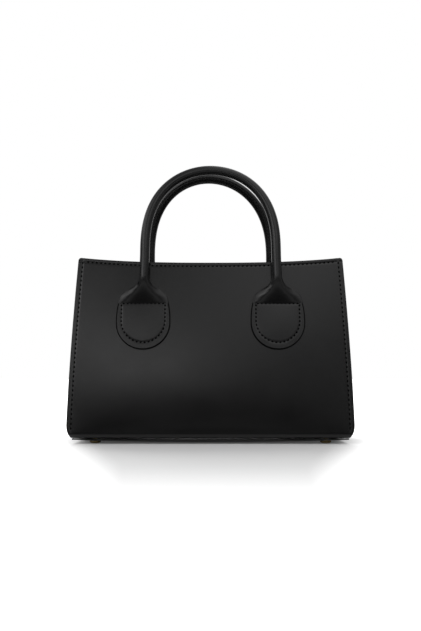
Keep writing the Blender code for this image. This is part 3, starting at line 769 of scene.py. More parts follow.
class SharedGroups:
    """Shader node groups that several materials use, each built once."""

    def __init__(self) -> None:
        """Build all of them."""
        self.grain = self.build_grain()
        self.wear = self.build_wear()
        self.weave = self.build_weave()
        self.plate = self.build_plate()

    @staticmethod
    def start(
        name: str, inputs: dict[str, float], outputs: Sequence[str]
    ) -> tuple[Wiring, bpy.types.NodeOutputs, bpy.types.NodeInputs]:
        """Make an empty group with a vector, number inputs and number outputs.

        Args:
            name: The group's name.
            inputs: Input names with their usual values.
            outputs: Output names.

        Returns:
            The group's wiring, the sockets that come in and those that go out.
        """
        tree = bpy.data.node_groups.new(name, "ShaderNodeTree")
        sockets = tree.interface
        sockets.new_socket("Vector", in_out="INPUT", socket_type="NodeSocketVector")
        for word, value in inputs.items():
            socket = sockets.new_socket(word, in_out="INPUT", socket_type="NodeSocketFloat")
            socket.default_value = value
        for word in outputs:
            sockets.new_socket(word, in_out="OUTPUT", socket_type="NodeSocketFloat")
        source = tree.nodes.new("NodeGroupInput").outputs
        return Wiring(tree), source, tree.nodes.new("NodeGroupOutput").inputs

    def build_grain(self) -> bpy.types.NodeTree:
        """Fine pressed grain of coated leather: tiny cells, pores and broad clouds.

        Returns:
            The group.
        """
        sizes = {"Cell": 0.0007, "Cloud": 0.035}
        w, source, result = self.start("leather_grain", sizes, ("Height", "Pores", "Clouds"))
        place = source["Vector"]
        scale = w.math("DIVIDE", 1.0, source["Cell"])
        coarse = w.math("MULTIPLY", scale, 0.35)
        warp = w.add("TexNoise", {"Vector": place, "Scale": coarse, "Detail": 1.0}).outputs["Color"]
        shift = w.add("VectorMath", {0: warp, "Scale": 0.0004}, operation="SCALE").outputs[0]
        moved = w.add("VectorMath", {0: place, 1: shift}, operation="ADD").outputs[0]
        raised = w.ramp(w.cells(moved, scale, "DISTANCE_TO_EDGE"), 0.0, 0.22, 0.0, 1.0)
        fine = w.noise(place, w.math("MULTIPLY", scale, 2.2), 3.0)
        w.feed(result["Height"], w.math("MULTIPLY_ADD", fine, 0.45, raised))
        pores = w.cells(moved, w.math("MULTIPLY", scale, 0.45))
        w.feed(result["Pores"], w.ramp(pores, 0.05, 0.16, 1.0, 0.0))
        clouds = w.noise(place, w.math("DIVIDE", 1.0, source["Cloud"]), 3.0, 0.55)
        w.feed(result["Clouds"], w.ramp(clouds, 0.3, 0.7, 0.0, 1.0))
        return w.tree

    def build_wear(self) -> bpy.types.NodeTree:
        """Light wear from handling: faint scuffs and dust.

        Returns:
            The group.
        """
        sizes = {"Scuff": 0.025, "Amount": 0.5}
        w, source, result = self.start("handling_wear", sizes, ("Scuffs", "Dust"))
        scale = w.math("DIVIDE", 1.0, source["Scuff"])
        drawn = w.mapped(source["Vector"], Rotation=(0.3, 0.2, 0.5), Scale=(1.0, 1.0, 7.0))
        broad = w.noise(drawn, scale, 6.0, 0.7)
        scuffs = w.ramp(broad, 0.56, 0.74, 0.0, 1.0)
        w.feed(result["Scuffs"], w.math("MULTIPLY", scuffs, source["Amount"]))
        cells = w.cells(source["Vector"], w.math("MULTIPLY", scale, 6.0))
        specks = w.ramp(cells, 0.02, 0.06, 1.0, 0.0)
        w.feed(result["Dust"], w.math("MULTIPLY", specks, source["Amount"]))
        return w.tree

    def build_weave(self) -> bpy.types.NodeTree:
        """A plain weave on a sheet's own UV map, which is in metres.

        Returns:
            The group.
        """
        w, source, result = self.start("plain_weave", {"Thread": 0.0005}, ("Height", "Slubs"))
        parts = w.split(source["Vector"])
        turns = w.math("DIVIDE", math.pi, source["Thread"])
        warp = w.math("MULTIPLY", parts["X"], turns)
        weft = w.math("MULTIPLY", parts["Y"], turns)
        over = w.math("MULTIPLY", w.math("SINE", warp), w.math("SINE", weft))
        crests = [w.math("ABSOLUTE", w.math("COSINE", line)) for line in (warp, weft)]
        w.feed(result["Height"], w.math("MULTIPLY_ADD", over, 0.5, w.math("MAXIMUM", *crests)))
        stretched = w.mapped(source["Vector"], Scale=(12.0, 1.0, 1.0))
        w.feed(result["Slubs"], w.noise(stretched, 160.0, 3.0))
        return w.tree

    def build_plate(self) -> bpy.types.NodeTree:
        """Plated metal: fine polishing lines and soft tarnish.

        Returns:
            The group.
        """
        sizes = {"Line": 0.0002, "Tarnish": 0.003}
        w, source, result = self.start("plated_metal", sizes, ("Lines", "Tarnish"))
        stretched = w.mapped(source["Vector"], Scale=(1.0, 1.0, 0.08))
        w.feed(result["Lines"], w.noise(stretched, w.math("DIVIDE", 1.0, source["Line"]), 3.0))
        spots = w.noise(source["Vector"], w.math("DIVIDE", 1.0, source["Tarnish"]), 5.0, 0.6)
        w.feed(result["Tarnish"], w.ramp(spots, 0.45, 0.75, 0.0, 1.0))
        return w.tree


GROUPS = SharedGroups()


@dataclass(frozen=True)
class Finish:
    """What every finish has in common; its second colour is for worn or tarnished places."""

    name: str
    colour: Triple
    second: Triple
    roughness: float
    strength: float
    relief: float

    def constants(self) -> dict[str, float]:
        """Inputs of the shader that are the same all over."""
        return {"Metallic": 0.0}

    def pattern(self, w: Wiring) -> tuple[object, Socket, Socket]:
        """Wire the share of the second colour, the roughness and the height."""
        raise NotImplementedError

    def material(self) -> bpy.types.Material:
        """Build the material on one Principled shader.

        Returns:
            The material.
        """
        material = bpy.data.materials.new(self.name)
        material.use_nodes = True
        w = Wiring(material.node_tree)
        shader = material.node_tree.nodes["Principled BSDF"].inputs
        for word, value in self.constants().items():
            shader[word].default_value = value
        share, rough, height = self.pattern(w)
        w.feed(shader["Base Color"], w.blend(share, self.colour, self.second))
        w.feed(shader["Roughness"], rough)
        w.feed(shader["Normal"], w.bump(height, self.strength, self.relief))
        return material


@dataclass(frozen=True)
class LeatherFinish(Finish):
    """Coated faux leather, from near matt to satin."""

    colour: Triple = (0.0066, 0.0066, 0.0068)
    second: Triple = (0.0100, 0.0099, 0.0098)
    roughness: float = 0.18
    strength: float = 0.10
    relief: float = 0.00005
    cell: float = 0.0007
    wear: float = 0.35
    cloud_tint: float = 0.25
    scuff_tint: float = 0.6
    cloud_matt: float = 0.04
    scuff_matt: float = 0.10
    pore_matt: float = 0.08
    pore_depth: float = 0.5

    def pattern(self, w: Wiring) -> tuple[object, Socket, Socket]:
        """Wire clouds and scuffs over a pressed grain with pores.

        Args:
            w: The material's wiring.

        Returns:
            The share of the second colour, the roughness and the height.
        """
        place = w.coords("Object")
        grain = w.group(GROUPS.grain, Vector=place, Cell=self.cell)
        wear = w.group(GROUPS.wear, Vector=place, Amount=self.wear)
        clouds = w.math("MULTIPLY", grain["Clouds"], self.cloud_tint)
        share = w.math("MULTIPLY_ADD", wear["Scuffs"], self.scuff_tint, clouds)
        least = self.roughness - self.cloud_matt / 2
        rough = w.math("MULTIPLY_ADD", grain["Clouds"], self.cloud_matt, least)
        rough = w.math("MULTIPLY_ADD", wear["Scuffs"], self.scuff_matt, rough)
        rough = w.math("MULTIPLY_ADD", grain["Pores"], self.pore_matt, rough)
        height = w.math("MULTIPLY_ADD", grain["Pores"], -self.pore_depth, grain["Height"])
        return share, rough, height


@dataclass(frozen=True)
class ClothFinish(Finish):
    """Woven cloth or twisted cord, on the piece's own UV map."""

    colour: Triple = (0.010, 0.010, 0.011)
    second: Triple = (0.024, 0.023, 0.024)
    roughness: float = 0.82
    strength: float = 0.6
    relief: float = 0.0001
    thread: float = 0.0005
    fuzz: float = 0.15
    fuzz_roughness: float = 0.4
    scuff_shine: float = 0.10

    def constants(self) -> dict[str, float]:
        """Inputs of the shader that are the same all over."""
        fuzz = {"Sheen Weight": self.fuzz, "Sheen Roughness": self.fuzz_roughness}
        return {"Metallic": 0.0, **fuzz}

    def pattern(self, w: Wiring) -> tuple[object, Socket, Socket]:
        """Wire a weave whose crests and slubs are lighter.

        Args:
            w: The material's wiring.

        Returns:
            The share of the second colour, the roughness and the height.
        """
        weave = w.group(GROUPS.weave, Vector=w.coords("UV"), Thread=self.thread)
        wear = w.group(GROUPS.wear, Vector=w.coords("Object"), Scuff=0.02)
        share = w.math("MULTIPLY", w.ramp(weave["Height"], 0.3, 1.4, 0.1, 0.9), weave["Slubs"])
        rough = w.math("MULTIPLY_ADD", wear["Scuffs"], -self.scuff_shine, self.roughness)
        return share, rough, weave["Height"]


@dataclass(frozen=True)
class MetalFinish(Finish):
    """Plated metal."""

    colour: Triple = (0.46, 0.36, 0.18)
    second: Triple = (0.20, 0.15, 0.07)
    roughness: float = 0.2
    strength: float = 0.08
    relief: float = 0.00003
    tarnish_tint: float = 0.35
    tarnish_matt: float = 0.15
    scuff_matt: float = 0.20

    def constants(self) -> dict[str, float]:
        """Inputs of the shader that are the same all over."""
        return {"Metallic": 1.0}

    def pattern(self, w: Wiring) -> tuple[object, Socket, Socket]:
        """Wire polishing lines under a soft tarnish and small scuffs.

        Args:
            w: The material's wiring.

        Returns:
            The share of the second colour, the roughness and the height.
        """
        place = w.coords("Object")
        plate = w.group(GROUPS.plate, Vector=place)
        wear = w.group(GROUPS.wear, Vector=place, Scuff=0.004, Amount=0.6)
        share = w.math("MULTIPLY", plate["Tarnish"], self.tarnish_tint)
        rough = w.math("MULTIPLY_ADD", plate["Tarnish"], self.tarnish_matt, self.roughness)
        rough = w.math("MULTIPLY_ADD", wear["Scuffs"], self.scuff_matt, rough)
        return share, rough, plate["Lines"]


@dataclass(frozen=True)
class BoardFinish(Finish):
    """Pressed grey fibre board."""

    colour: Triple = (0.16, 0.145, 0.12)
    second: Triple = (0.30, 0.28, 0.24)
    roughness: float = 0.88
    strength: float = 0.4
    relief: float = 0.0001
    fibre: float = 0.0004
    dust_matt: float = 0.08

    def pattern(self, w: Wiring) -> tuple[object, Socket, Socket]:
        """Wire fibres that run across the bag, and dust.

        Args:
            w: The material's wiring.

        Returns:
            The share of the second colour, the roughness and the height.
        """
        place = w.coords("Object")
        fibres = w.noise(w.mapped(place, Scale=(0.15, 1.0, 1.0)), 1.0 / self.fibre, 5.0, 0.7)
        wear = w.group(GROUPS.wear, Vector=place, Scuff=0.01)
        rough = w.math("MULTIPLY_ADD", wear["Dust"], self.dust_matt, self.roughness)
        return w.ramp(fibres, 0.4, 0.65, 0.0, 1.0), rough, fibres


@dataclass(frozen=True)
class ThreadAndShadeFinish(Finish):
    """Matt black thread of twisted strands, and the matt paint on the tabs' edges, both darker than
    the leather as painted shade: of the stitch holes and of the tabs' shadow line.
    """

    # Darker than the leather: real black thread, and painted shade of the stitch holes.
    colour: Triple = (0.0010, 0.0010, 0.0011)
    second: Triple = (0.0032, 0.0032, 0.0032)
    roughness: float = 0.62
    strength: float = 0.5
    relief: float = 0.0001
    strand: float = 0.00022
    gloss: float = 0.03
    scuff_matt: float = 0.10

    def constants(self) -> dict[str, float]:
        """Inputs of the shader that are the same all over."""
        return {"Metallic": 0.0, "Specular IOR Level": self.gloss}

    def pattern(self, w: Wiring) -> tuple[object, Socket, Socket]:
        """Wire slanting strands, and scuffs.

        Args:
            w: The material's wiring.

        Returns:
            The share of the second colour, the roughness and the height.
        """
        place = w.coords("Object")
        turned = w.mapped(place, Rotation=(0.7, 0.5, 0.7), Scale=(1.0, 0.3, 1.0))
        twist = w.noise(turned, 1.0 / self.strand, 2.0)
        wear = w.group(GROUPS.wear, Vector=place, Scuff=0.02, Amount=0.6)
        rough = w.math("MULTIPLY_ADD", wear["Scuffs"], self.scuff_matt, self.roughness)
        return w.ramp(twist, 0.4, 0.65, 0.0, 1.0), rough, twist


class Palette(Enum):
    """Every finish of the bag."""

    PANEL = LeatherFinish("panel_leather")
    HANDLE = LeatherFinish("handle_leather", cell=0.0006, roughness=0.24)
    EDGE = LeatherFinish(
        "edge_paint", colour=(0.0075, 0.0075, 0.0078), roughness=0.30, cell=0.0016
    )
    # Partly real, partly painted shade: the tabs' edge paint is darker and more matt than the panels'
    # so that it also stands in for the shadow line round the tabs.
    TAB_EDGE_AND_SHADOW_LINE = ThreadAndShadeFinish(
        "matt_edge_paint", colour=(0.0024, 0.0024, 0.0025), second=(0.0040, 0.0040, 0.0040)
    )
    FACING = LeatherFinish(
        "facing_leather", colour=(0.0085, 0.0085, 0.0087), roughness=0.45, cell=0.0009
    )
    LINING = ClothFinish("lining_cloth")
    CORD = ClothFinish(
        "core_cord", colour=(0.42, 0.38, 0.30), second=(0.66, 0.61, 0.52), thread=0.0008
    )
    BOARD = BoardFinish("stiffening_board")
    BRASS = MetalFinish("brass_plate")
    NICKEL = MetalFinish(
        "nickel_plate", colour=(0.62, 0.61, 0.58), second=(0.34, 0.32, 0.29), roughness=0.26
    )
    # Partly painted shade: the thread is darker than the black leather so that each stitch also
    # stands in for the shade in its hole and groove.
    THREAD = ThreadAndShadeFinish("black_thread")


class Wardrobe:
    """Gives each finish's material, built when it is first worn."""

    def __init__(self) -> None:
        """Start with none built."""
        self.materials: dict[Palette, bpy.types.Material] = {}

    def dress(self, item: Piece, finish: Palette) -> Piece:
        """Give a piece its finish.

        Args:
            item: The piece.
            finish: The finish that it wears.

        Returns:
            The piece.
        """
        if finish not in self.materials:
            self.materials[finish] = finish.value.material()
        item.data.materials.clear()
        item.data.materials.append(self.materials[finish])
        return item


WARDROBE = Wardrobe()


def dense(share: float, cells: float, part: float) -> float:
    """Crowd a grid's lines towards both of its ends.

    Args:
        share: A place between minus one and one.
        cells: The share of the cells that the ends take.
        part: The share of the length that those cells cover.

    Returns:
        The moved place.
    """
    size = abs(share)
    if size <= 1.0 - cells:
        moved = size / (1.0 - cells) * (1.0 - part)
    else:
        moved = 1.0 - part + (size - 1.0 + cells) / cells * part
    return math.copysign(moved, share)


def ride_all(body: str, *items: Piece) -> None:
    """Let pieces move with one body of the frame.

    Args:
        body: The body's name.
        items: The pieces.
    """
    for item in items:
        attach(item, body)
        log.info("%s rides on %s", item.name, body)


def bead(proud: float, sunk: float, half: float) -> Line:
    """The closed profile of a bead of edge paint.

    Args:
        proud: How far it stands over the edge.
        sunk: How far it reaches behind the edge.
        half: Half of its width.

    Returns:
        Points as distance out and across.
    """
    crown = [
        (proud * math.sin(turn) ** 0.6, -half * math.cos(turn))
        for turn in spread(0.0, math.pi, 8)[1:-1]
    ]
    rims = [(-sunk * 0.2, -half), (-sunk * 0.2, half)]
    return [(-sunk, half), (-sunk, -half), rims[0], *crown, rims[1]]


def rim(points: Sequence[Vector], face: Vector, middle: Vector) -> Route:
    """The route of a bead round a sheet's edge.

    Args:
        points: The edge, in order.
        face: The way that the sheet faces.
        middle: A point in the sheet, from which the bead looks away.

    Returns:
        The points, each with the way out of the sheet.
    """
    route = []
    last = len(points) - 1
    for index, point in enumerate(points):
        course = points[min(index + 1, last)] - points[max(index - 1, 0)]
        out = face.cross(course).normalized()
        route.append((point, out if out.dot(point - middle) > 0.0 else -out))
    return route


@dataclass(frozen=True)
class Layer:
    """The measures of a sheet on the inner side of a wall.

    Args:
        low: The station of its low edge.
        drop: How far its top edge stays under the wall's own.
        level: Gives the depth of its visible face from the distance to the wall's top edge.
        thickness: Its thickness.
        rows: Its cells along.
        edge: The radius of its edges.
    """

    low: float
    drop: float
    level: Callable[[float], float]
    thickness: float
    rows: int
    edge: float = 0.0001

    def cut(self, name: str, columns: int, place: Place, look: Vector, width: float) -> Piece:
        """Model the sheet from the points of its visible face, the way it looks and its width."""
        span = (width, SHAPE.height)
        return sheet(name, columns, self.rows, place, self.thickness, look, span, self.edge)


@dataclass
class WallAssembly:
    """The front or the back: leather, edge paint, stitches, stiffener, lining and facing."""

    side: Side
    columns: int = 116
    hem_rows: int = 2
    bend_rows: int = 12
    slope_rows: int = 76
    edge_cells: float = 0.30
    edge_part: float = 0.062
    top_cells: float = 0.22
    top_part: float = 0.0080
    stiffener_depth: float = 0.0015
    stiffener: float = 0.0010
    stiffener_drop: float = 0.0090
    stiffener_foot: float = 0.0003
    lining_depth: float = 0.0028
    lining: float = 0.0004
    lining_drop: float = 0.024
    lining_foot: float = 0.0012
    facing_depth: float = 0.0035
    facing: float = 0.0010
    facing_height: float = 0.028
    facing_pull: float = 0.0090
    facing_play: float = 0.00013
    facing_drop: float = 0.0003
    fold_play: float = 1.3
    inner_columns: int = 64
    edge_depth: float = 0.00125
    edge_proud: float = 0.00022
    edge_sunk: float = 0.0003
    edge_lap: float = 0.00006
    edge_low: float = -0.001
    edge_steps: int = 60
    corner_steps: int = 7
    side_steps: int = 40
    mouth_steps: int = 80
    side_stitch_low: float = 0.0025
    side_stitch_high: float = 0.0030
    top_stitch_end: float = 0.0030
    facing_stitch_end: float = 0.004
    facing_stitch_rise: float = 0.0030

    def station_rows(self, row: float, x: float) -> float:
        """The station of a row on the slope, crowded near the top edge.

        Args:
            row: The row, counted from the hem.
            x: The place across.

        Returns:
            The station.
        """
        share = (row - self.hem_rows - self.bend_rows) / self.slope_rows
        top = SHAPE.top_station(x)
        if share <= 1.0 - self.top_cells:
            return (top - self.top_part) * share / (1.0 - self.top_cells)
        return top - self.top_part * (1.0 - share) / self.top_cells

    def leather_point(self, u: float, v: float) -> Vector:
        """A point of the outer leather.

        Args:
            u: The share across.
            v: The share along.

        Returns:
            The point.
        """
        across = dense(u, self.edge_cells, self.edge_part)
        row = (v + 1.0) / 2 * (self.hem_rows + self.bend_rows + self.slope_rows)
        turn = math.pi / 2 + SHAPE.lean
        if row <= self.hem_rows:
            x = across * (SHAPE.base_width / 2 - SHAPE.corner_inset(SHAPE.seam_level))
            point = SHAPE.bend_point(self.side, x, turn, 0.0)
            under = SHAPE.hem * (1.0 - row / self.hem_rows)
            return point - Vector((0.0, self.side.value * under, 0.0))
        if row <= self.hem_rows + self.bend_rows:
            angle = turn * (1.0 - (row - self.hem_rows) / self.bend_rows)
            level = SHAPE.bend_point(self.side, 0.0, angle, 0.0).z
            x = across * (SHAPE.base_width / 2 - SHAPE.corner_inset(level))
            return SHAPE.bend_point(self.side, x, angle, 0.0)
        station = self.station_rows(row, across * SHAPE.top_width / 2)
        half = SHAPE.half_width(station)
        inset = SHAPE.corner_inset(SHAPE.level(station)) + SHAPE.top_inset(half * across, station)
        x = across * (half - inset)
        return SHAPE.wall_point(self.side, x, station, self.dents(x, station))

    def dents(self, x: float, station: float) -> float:
        """How far the stitching pulls the leather in.

        Args:
            x: The place across.
            station: The way up the slope.

        Returns:
            The depth of the dent.
        """
        beside = SHAPE.half_width(station) - abs(x) - SHAPE.side_stitch_inset
        below = SHAPE.top_station(x) - station - SHAPE.top_stitch_inset
        return max(SHAPE.groove(beside), SHAPE.groove(below))

    def leather(self) -> Piece:
        """The outer leather with its bottom bend and hem.

        Returns:
            The piece.
        """
        name = self.side.word + "_panel_leather"
        rows = self.hem_rows + self.bend_rows + self.slope_rows
        look, span = SHAPE.outward(self.side), (SHAPE.base_width, SHAPE.height)
        item = sheet(name, self.columns, rows, self.leather_point, SHAPE.leather, look, span)
        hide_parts(self.side.word + "_panel")
        return WARDROBE.dress(item, Palette.PANEL)

    def reach(self, station: float, depth: float) -> float:
        """How far sideways a sheet inside the wall goes, clear of the side wall's fold.

        Args:
            station: The way up the slope.
            depth: The way in from the panel's plane.

        Returns:
            Half of the sheet's width there.
        """
        wall = abs(SHAPE.plane_point(self.side, 0.0, station, SHAPE.leather).y)
        here = abs(SHAPE.plane_point(self.side, 0.0, station, depth).y)
        spare = SHAPE.leather * self.fold_play + SHAPE.gusset_fold(here / wall, station)
        return SHAPE.gusset_x(station) - spare

    def inner_sheet(self, name: str, layer: Layer) -> Piece:
        """A sheet inside the wall, whose visible face looks into the bag.

        Args:
            name: The piece's name.
            layer: Its measures.

        Returns:
            The piece.
        """

        def place(u: float, v: float) -> Vector:
            """A point of the visible face."""
            x_top = u * self.reach(SHAPE.reach, self.facing_depth)
            high = SHAPE.top_station(x_top)
            station = mix(layer.low, high - layer.drop, (v + 1.0) / 2)
            level = layer.level(high - station)
            return SHAPE.wall_point(self.side, u * self.reach(station, level), station, level)

        return layer.cut(
            name, self.inner_columns, place, -SHAPE.outward(self.side), SHAPE.top_width
        )

    def board(self) -> Piece:
        """The stiffener between the leather and the lining.

        Returns:
            The piece.
        """
        depth = self.stiffener_depth + self.stiffener
        layer = Layer(self.stiffener_foot, self.stiffener_drop, lambda gap: depth, self.stiffener, 24)
        item = self.inner_sheet(self.side.word + "_stiffening_board", layer)
        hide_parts(self.side.word + "_stiffener")
        return WARDROBE.dress(item, Palette.BOARD)

    def cloth(self) -> Piece:
        """The wall's lining.

        Returns:
            The piece.
        """
        depth = self.lining_depth + self.lining
        layer = Layer(self.lining_foot, self.lining_drop, lambda gap: depth, self.lining, 40)
        item = self.inner_sheet(self.side.word + "_lining_cloth", layer)
        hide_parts(self.side.word + "_lining")
        return WARDROBE.dress(item, Palette.LINING)

    def facing_level(self, gap: float) -> float:
        """The facing closes up to the outer leather towards the mouth.

        Args:
            gap: The distance to the mouth's edge.

        Returns:
            The depth of its visible face.
        """
        shut = SHAPE.leather + self.facing + self.facing_play
        open_level = self.facing_depth + self.facing
        level = mix(shut, open_level, smooth(gap / self.facing_pull))
        return level - SHAPE.groove(gap - SHAPE.top_stitch_inset)

    def facing_strip(self) -> Piece:
        """The leather strip inside the mouth.

        Returns:
            The piece.
        """
        low = SHAPE.top_station(0.0) - self.facing_height
        layer = Layer(low, self.facing_drop, self.facing_level, self.facing, 56)
        item = self.inner_sheet(self.side.word + "_facing_leather", layer)
        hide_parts(self.side.word + "_facing")
        return WARDROBE.dress(item, Palette.FACING)

    def outline(self) -> Line:
        """The panel's edge from the low left, over the top, to the low right: x and station.

        Returns:
            The edge's points.
        """
        left = []
        corner = SHAPE.top_corner
        for station in spread(self.edge_low, SHAPE.reach - corner, self.edge_steps):
            inset = SHAPE.corner_inset(SHAPE.level(station))
            left.append((inset - SHAPE.half_width(station), station))
        half = SHAPE.half_width(SHAPE.reach)
        for turn in spread(0.0, math.pi / 2, self.corner_steps)[1:]:
            x = corner * (1.0 - math.cos(turn)) - half
            left.append((x, SHAPE.top_station(x) - corner * (1.0 - math.sin(turn))))
        across = spread(corner - half, half - corner, self.edge_steps)[1:-1]
        top = [(x, SHAPE.top_station(x)) for x in across]
        return left + top + [(-x, station) for x, station in reversed(left)]

    def edge_paint(self) -> Piece:
        """The glossy paint on the cut edges, all the way round.

        Returns:
            The piece.
        """
        points = [
            SHAPE.wall_point(self.side, x, station, self.edge_depth)
            for x, station in self.outline()
        ]
        middle = SHAPE.plane_point(self.side, 0.0, SHAPE.reach / 2, self.edge_depth)
        route = rim(points, SHAPE.outward(self.side), middle)
        profile = bead(self.edge_proud, self.edge_sunk, self.edge_depth + self.edge_lap)
        item = sweep(self.side.word + "_edge_paint", route, profile)
        return WARDROBE.dress(item, Palette.EDGE)

    def line(self, points: Line, depth: float, inward: bool) -> Route:
        """A stitch line on the wall, on its outer or its inner face."""
        normal = SHAPE.outward(self.side) * (-1.0 if inward else 1.0)
        return [(SHAPE.wall_point(self.side, x, station, depth), normal) for x, station in points]

    def side_line(self, hand: Hand) -> Line:
        """The stitch line beside one gusset.

        Args:
            hand: The left or the right.

        Returns:
            The line.
        """
        inset = SHAPE.side_stitch_inset
        high = SHAPE.reach - self.side_stitch_high
        stations = spread(self.side_stitch_low, high, self.side_steps)
        return [(hand.value * (SHAPE.half_width(place) - inset), place) for place in stations]

    def top_line(self, reach: float, drop: float) -> Line:
        """A stitch line that follows the mouth."""
        return [(x, SHAPE.top_station(x) - drop) for x in spread(-reach, reach, self.mouth_steps)]

    def stitches(self) -> list[Piece]:
        """Stitching on the panel, on the seam's inner side and on the facing.

        Returns:
            The rows, a piece each.
        """
        inset, groove = SHAPE.top_stitch_inset, SHAPE.stitch_groove
        sides = [self.line(self.side_line(hand), groove, False) for hand in Hand]
        back = [self.line(self.side_line(hand), SHAPE.flange_depth, True) for hand in Hand]
        half = SHAPE.top_width / 2 - SHAPE.side_stitch_inset - self.top_stitch_end
        top = self.line(self.top_line(half, inset), groove, False)
        reach = self.reach(SHAPE.reach, self.facing_depth) - self.facing_stitch_end
        mouth = self.line(self.top_line(reach, inset), self.facing_level(inset), True)
        low_line = self.top_line(reach, self.facing_height - self.facing_stitch_rise)
        low = self.line(low_line, self.facing_depth + self.facing, True)
        rows = (
            (Stitching(0.0044), "_side_stitches", sides),
            (Stitching(0.0044), "_seam_back_stitches", back),
            (Stitching(0.0042, 0.0030), "_top_stitches", [top]),
            (Stitching(), "_facing_stitches", [mouth, low]),
        )
        return [
            WARDROBE.dress(
                stitching.row(self.side.word + word, routes), Palette.THREAD
            )
            for stitching, word, routes in rows
        ]

    def build(self) -> None:
        """Build the whole wall."""
        shell = (self.leather(), self.edge_paint(), self.board(), self.cloth())
        ride_all("bag_body", *shell, self.facing_strip(), *self.stitches())


@dataclass
class GussetAssembly:
    """A side wall with its turned out seams, lining and facing."""

    hand: Hand
    columns: int = 84
    rows: int = 64
    flange_share: float = 0.20
    corner_share: float = 0.08
    corner: float = 0.0011
    foot_level: float = 0.0072
    flange_setback: float = 0.0003
    lining_gap: float = 0.0006
    lining_foot: float = 0.0012
    lining_drop: float = 0.020
    lining: float = 0.0004
    facing_gap: float = 0.0016
    facing_shut: float = 1.1
    facing_drop: float = 0.0001
    facing_setback: float = 0.0003
    facing: float = 0.0010
    facing_height: float = 0.028
    facing_pull: float = 0.0090
    inner_depth: float = 0.0050
    inner_columns: int = 48
    tuck_depth: float = 0.0021
    tuck_from: float = -0.0030
    tuck_reach: float = 0.0050
    top_steps: int = 48
    edge_share: float = 0.97
    edge_proud: float = 0.0002
    edge_sunk: float = 0.0003
    edge_lap: float = 0.00005
    stitch_share: float = 0.90

    def half_depth(self, x: float, station: float, depth: float) -> float:
        """Half of the way between two sheets that lie inside the panels."""
        return abs(SHAPE.wall_point(Side.FRONT, x, station, depth).y)

    def wall_point(self, u: float, v: float) -> Vector:
        """A point of the outer face, from the front seam's edge to the back seam's edge.

        Args:
            u: The share across.
            v: The share along.

        Returns:
            The point.
        """
        foot = (self.foot_level - SHAPE.seam_level) / math.cos(SHAPE.lean) - SHAPE.bend_reach
        station = mix(foot, SHAPE.reach - SHAPE.gusset_top_drop, (v + 1.0) / 2)
        size, side = abs(u), Side.FRONT if u < 0.0 else Side.BACK
        outer = SHAPE.gusset_x(station)
        seam = self.half_depth(outer, station, SHAPE.flange_depth)
        wall = 1.0 - self.flange_share - self.corner_share
        level = SHAPE.level(station)
        if size >= 1.0 - self.flange_share:
            share = (size - 1.0 + self.flange_share) / self.flange_share
            edge = outer + SHAPE.flange - self.flange_setback - SHAPE.corner_inset(level)
            x = mix(outer + self.corner, edge, share)
            point = SHAPE.wall_point(side, x, station, SHAPE.flange_depth + self.tuck(station))
            return Vector((point.x * self.hand.value, point.y, point.z))
        reach = seam - self.corner - self.tuck(station)
        if size > wall:
            angle = math.pi / 2 * (size - wall) / self.corner_share
            x = outer + self.corner * (1.0 - math.cos(angle))
            y = reach + self.corner * math.sin(angle)
        else:
            y = reach * size / wall
            across = y / seam
            x = outer - SHAPE.gusset_fold(across, station)
            level -= SHAPE.gusset_drop(across, station)
        z = level - SHAPE.flange_depth * math.sin(SHAPE.lean) * y / seam
        return Vector((x * self.hand.value, y * side.value, z))

    def tuck(self, station: float) -> float:
        """The foot of the seam draws in over the base."""
        return self.tuck_depth * (1.0 - smooth((station - self.tuck_from) / self.tuck_reach))

    def leather(self) -> Piece:
        """The side wall with both of its flanges.

        Returns:
            The piece.
        """
        name = "gusset_leather_" + self.hand.word
        look, span = Vector((self.hand.value, 0.0, 0.0)), (SHAPE.base_depth, SHAPE.height)
        item = sheet(name, self.columns, self.rows, self.wall_point, SHAPE.leather, look, span)
        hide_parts("gusset_" + self.hand.word)
        return WARDROBE.dress(item, Palette.PANEL)

    def inner_sheet(self, name: str, layer: Layer, depth: float) -> Piece:
        """A sheet on the inner face of the side wall.

        Args:
            name: The piece's name.
            layer: Its measures, with its level counted from the wall's inner face.
            depth: Where it ends beside the panels.

        Returns:
            The sheet.
        """
        top = SHAPE.reach - SHAPE.gusset_top_drop

        def place(u: float, v: float) -> Vector:
            """A point of the visible face."""
            station = mix(layer.low, top - layer.drop, (v + 1.0) / 2)
            x = SHAPE.gusset_x(station) - SHAPE.leather - layer.level(top - station)
            y = u * self.half_depth(x, station, depth)
            across = y / self.half_depth(x, station, SHAPE.leather)
            level = SHAPE.plane_point(Side.FRONT, 0.0, station, depth * abs(u)).z
            x -= SHAPE.gusset_fold(across, station)
            return Vector((x * self.hand.value, y, level - SHAPE.gusset_drop(across, station)))

        look = Vector((-self.hand.value, 0.0, 0.0))
        return layer.cut(name, self.inner_columns, place, look, SHAPE.base_depth)

    def facing_level(self, gap: float) -> float:
        """The facing closes up to the wall towards its top edge.

        Args:
            gap: The distance to the top edge.

        Returns:
            How far its visible face stands off the wall.
        """
        open_level = self.facing_gap + self.facing
        level = mix(self.facing * self.facing_shut, open_level, smooth(gap / self.facing_pull))
        return level - SHAPE.groove(gap - SHAPE.top_stitch_inset)

    def cloth(self) -> Piece:
        """The side wall's lining.

        Returns:
            The piece.
        """
        level = self.lining_gap + self.lining
        layer = Layer(self.lining_foot, self.lining_drop, lambda gap: level, self.lining, 40)
        name = "gusset_lining_cloth_" + self.hand.word
        item = self.inner_sheet(name, layer, self.inner_depth)
        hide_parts("gusset_lining_" + self.hand.word)
        return WARDROBE.dress(item, Palette.LINING)

    def facing_strip(self) -> Piece:
        """The leather strip inside the side wall's top edge.

        Returns:
            The piece.
        """
        low = SHAPE.reach - SHAPE.gusset_top_drop - self.facing_height
        layer = Layer(low, self.facing_drop, self.facing_level, self.facing, 48)
        name = "gusset_facing_leather_" + self.hand.word
        item = self.inner_sheet(name, layer, self.inner_depth + self.facing_setback)
        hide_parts("gusset_facing_" + self.hand.word)
        return WARDROBE.dress(item, Palette.FACING)

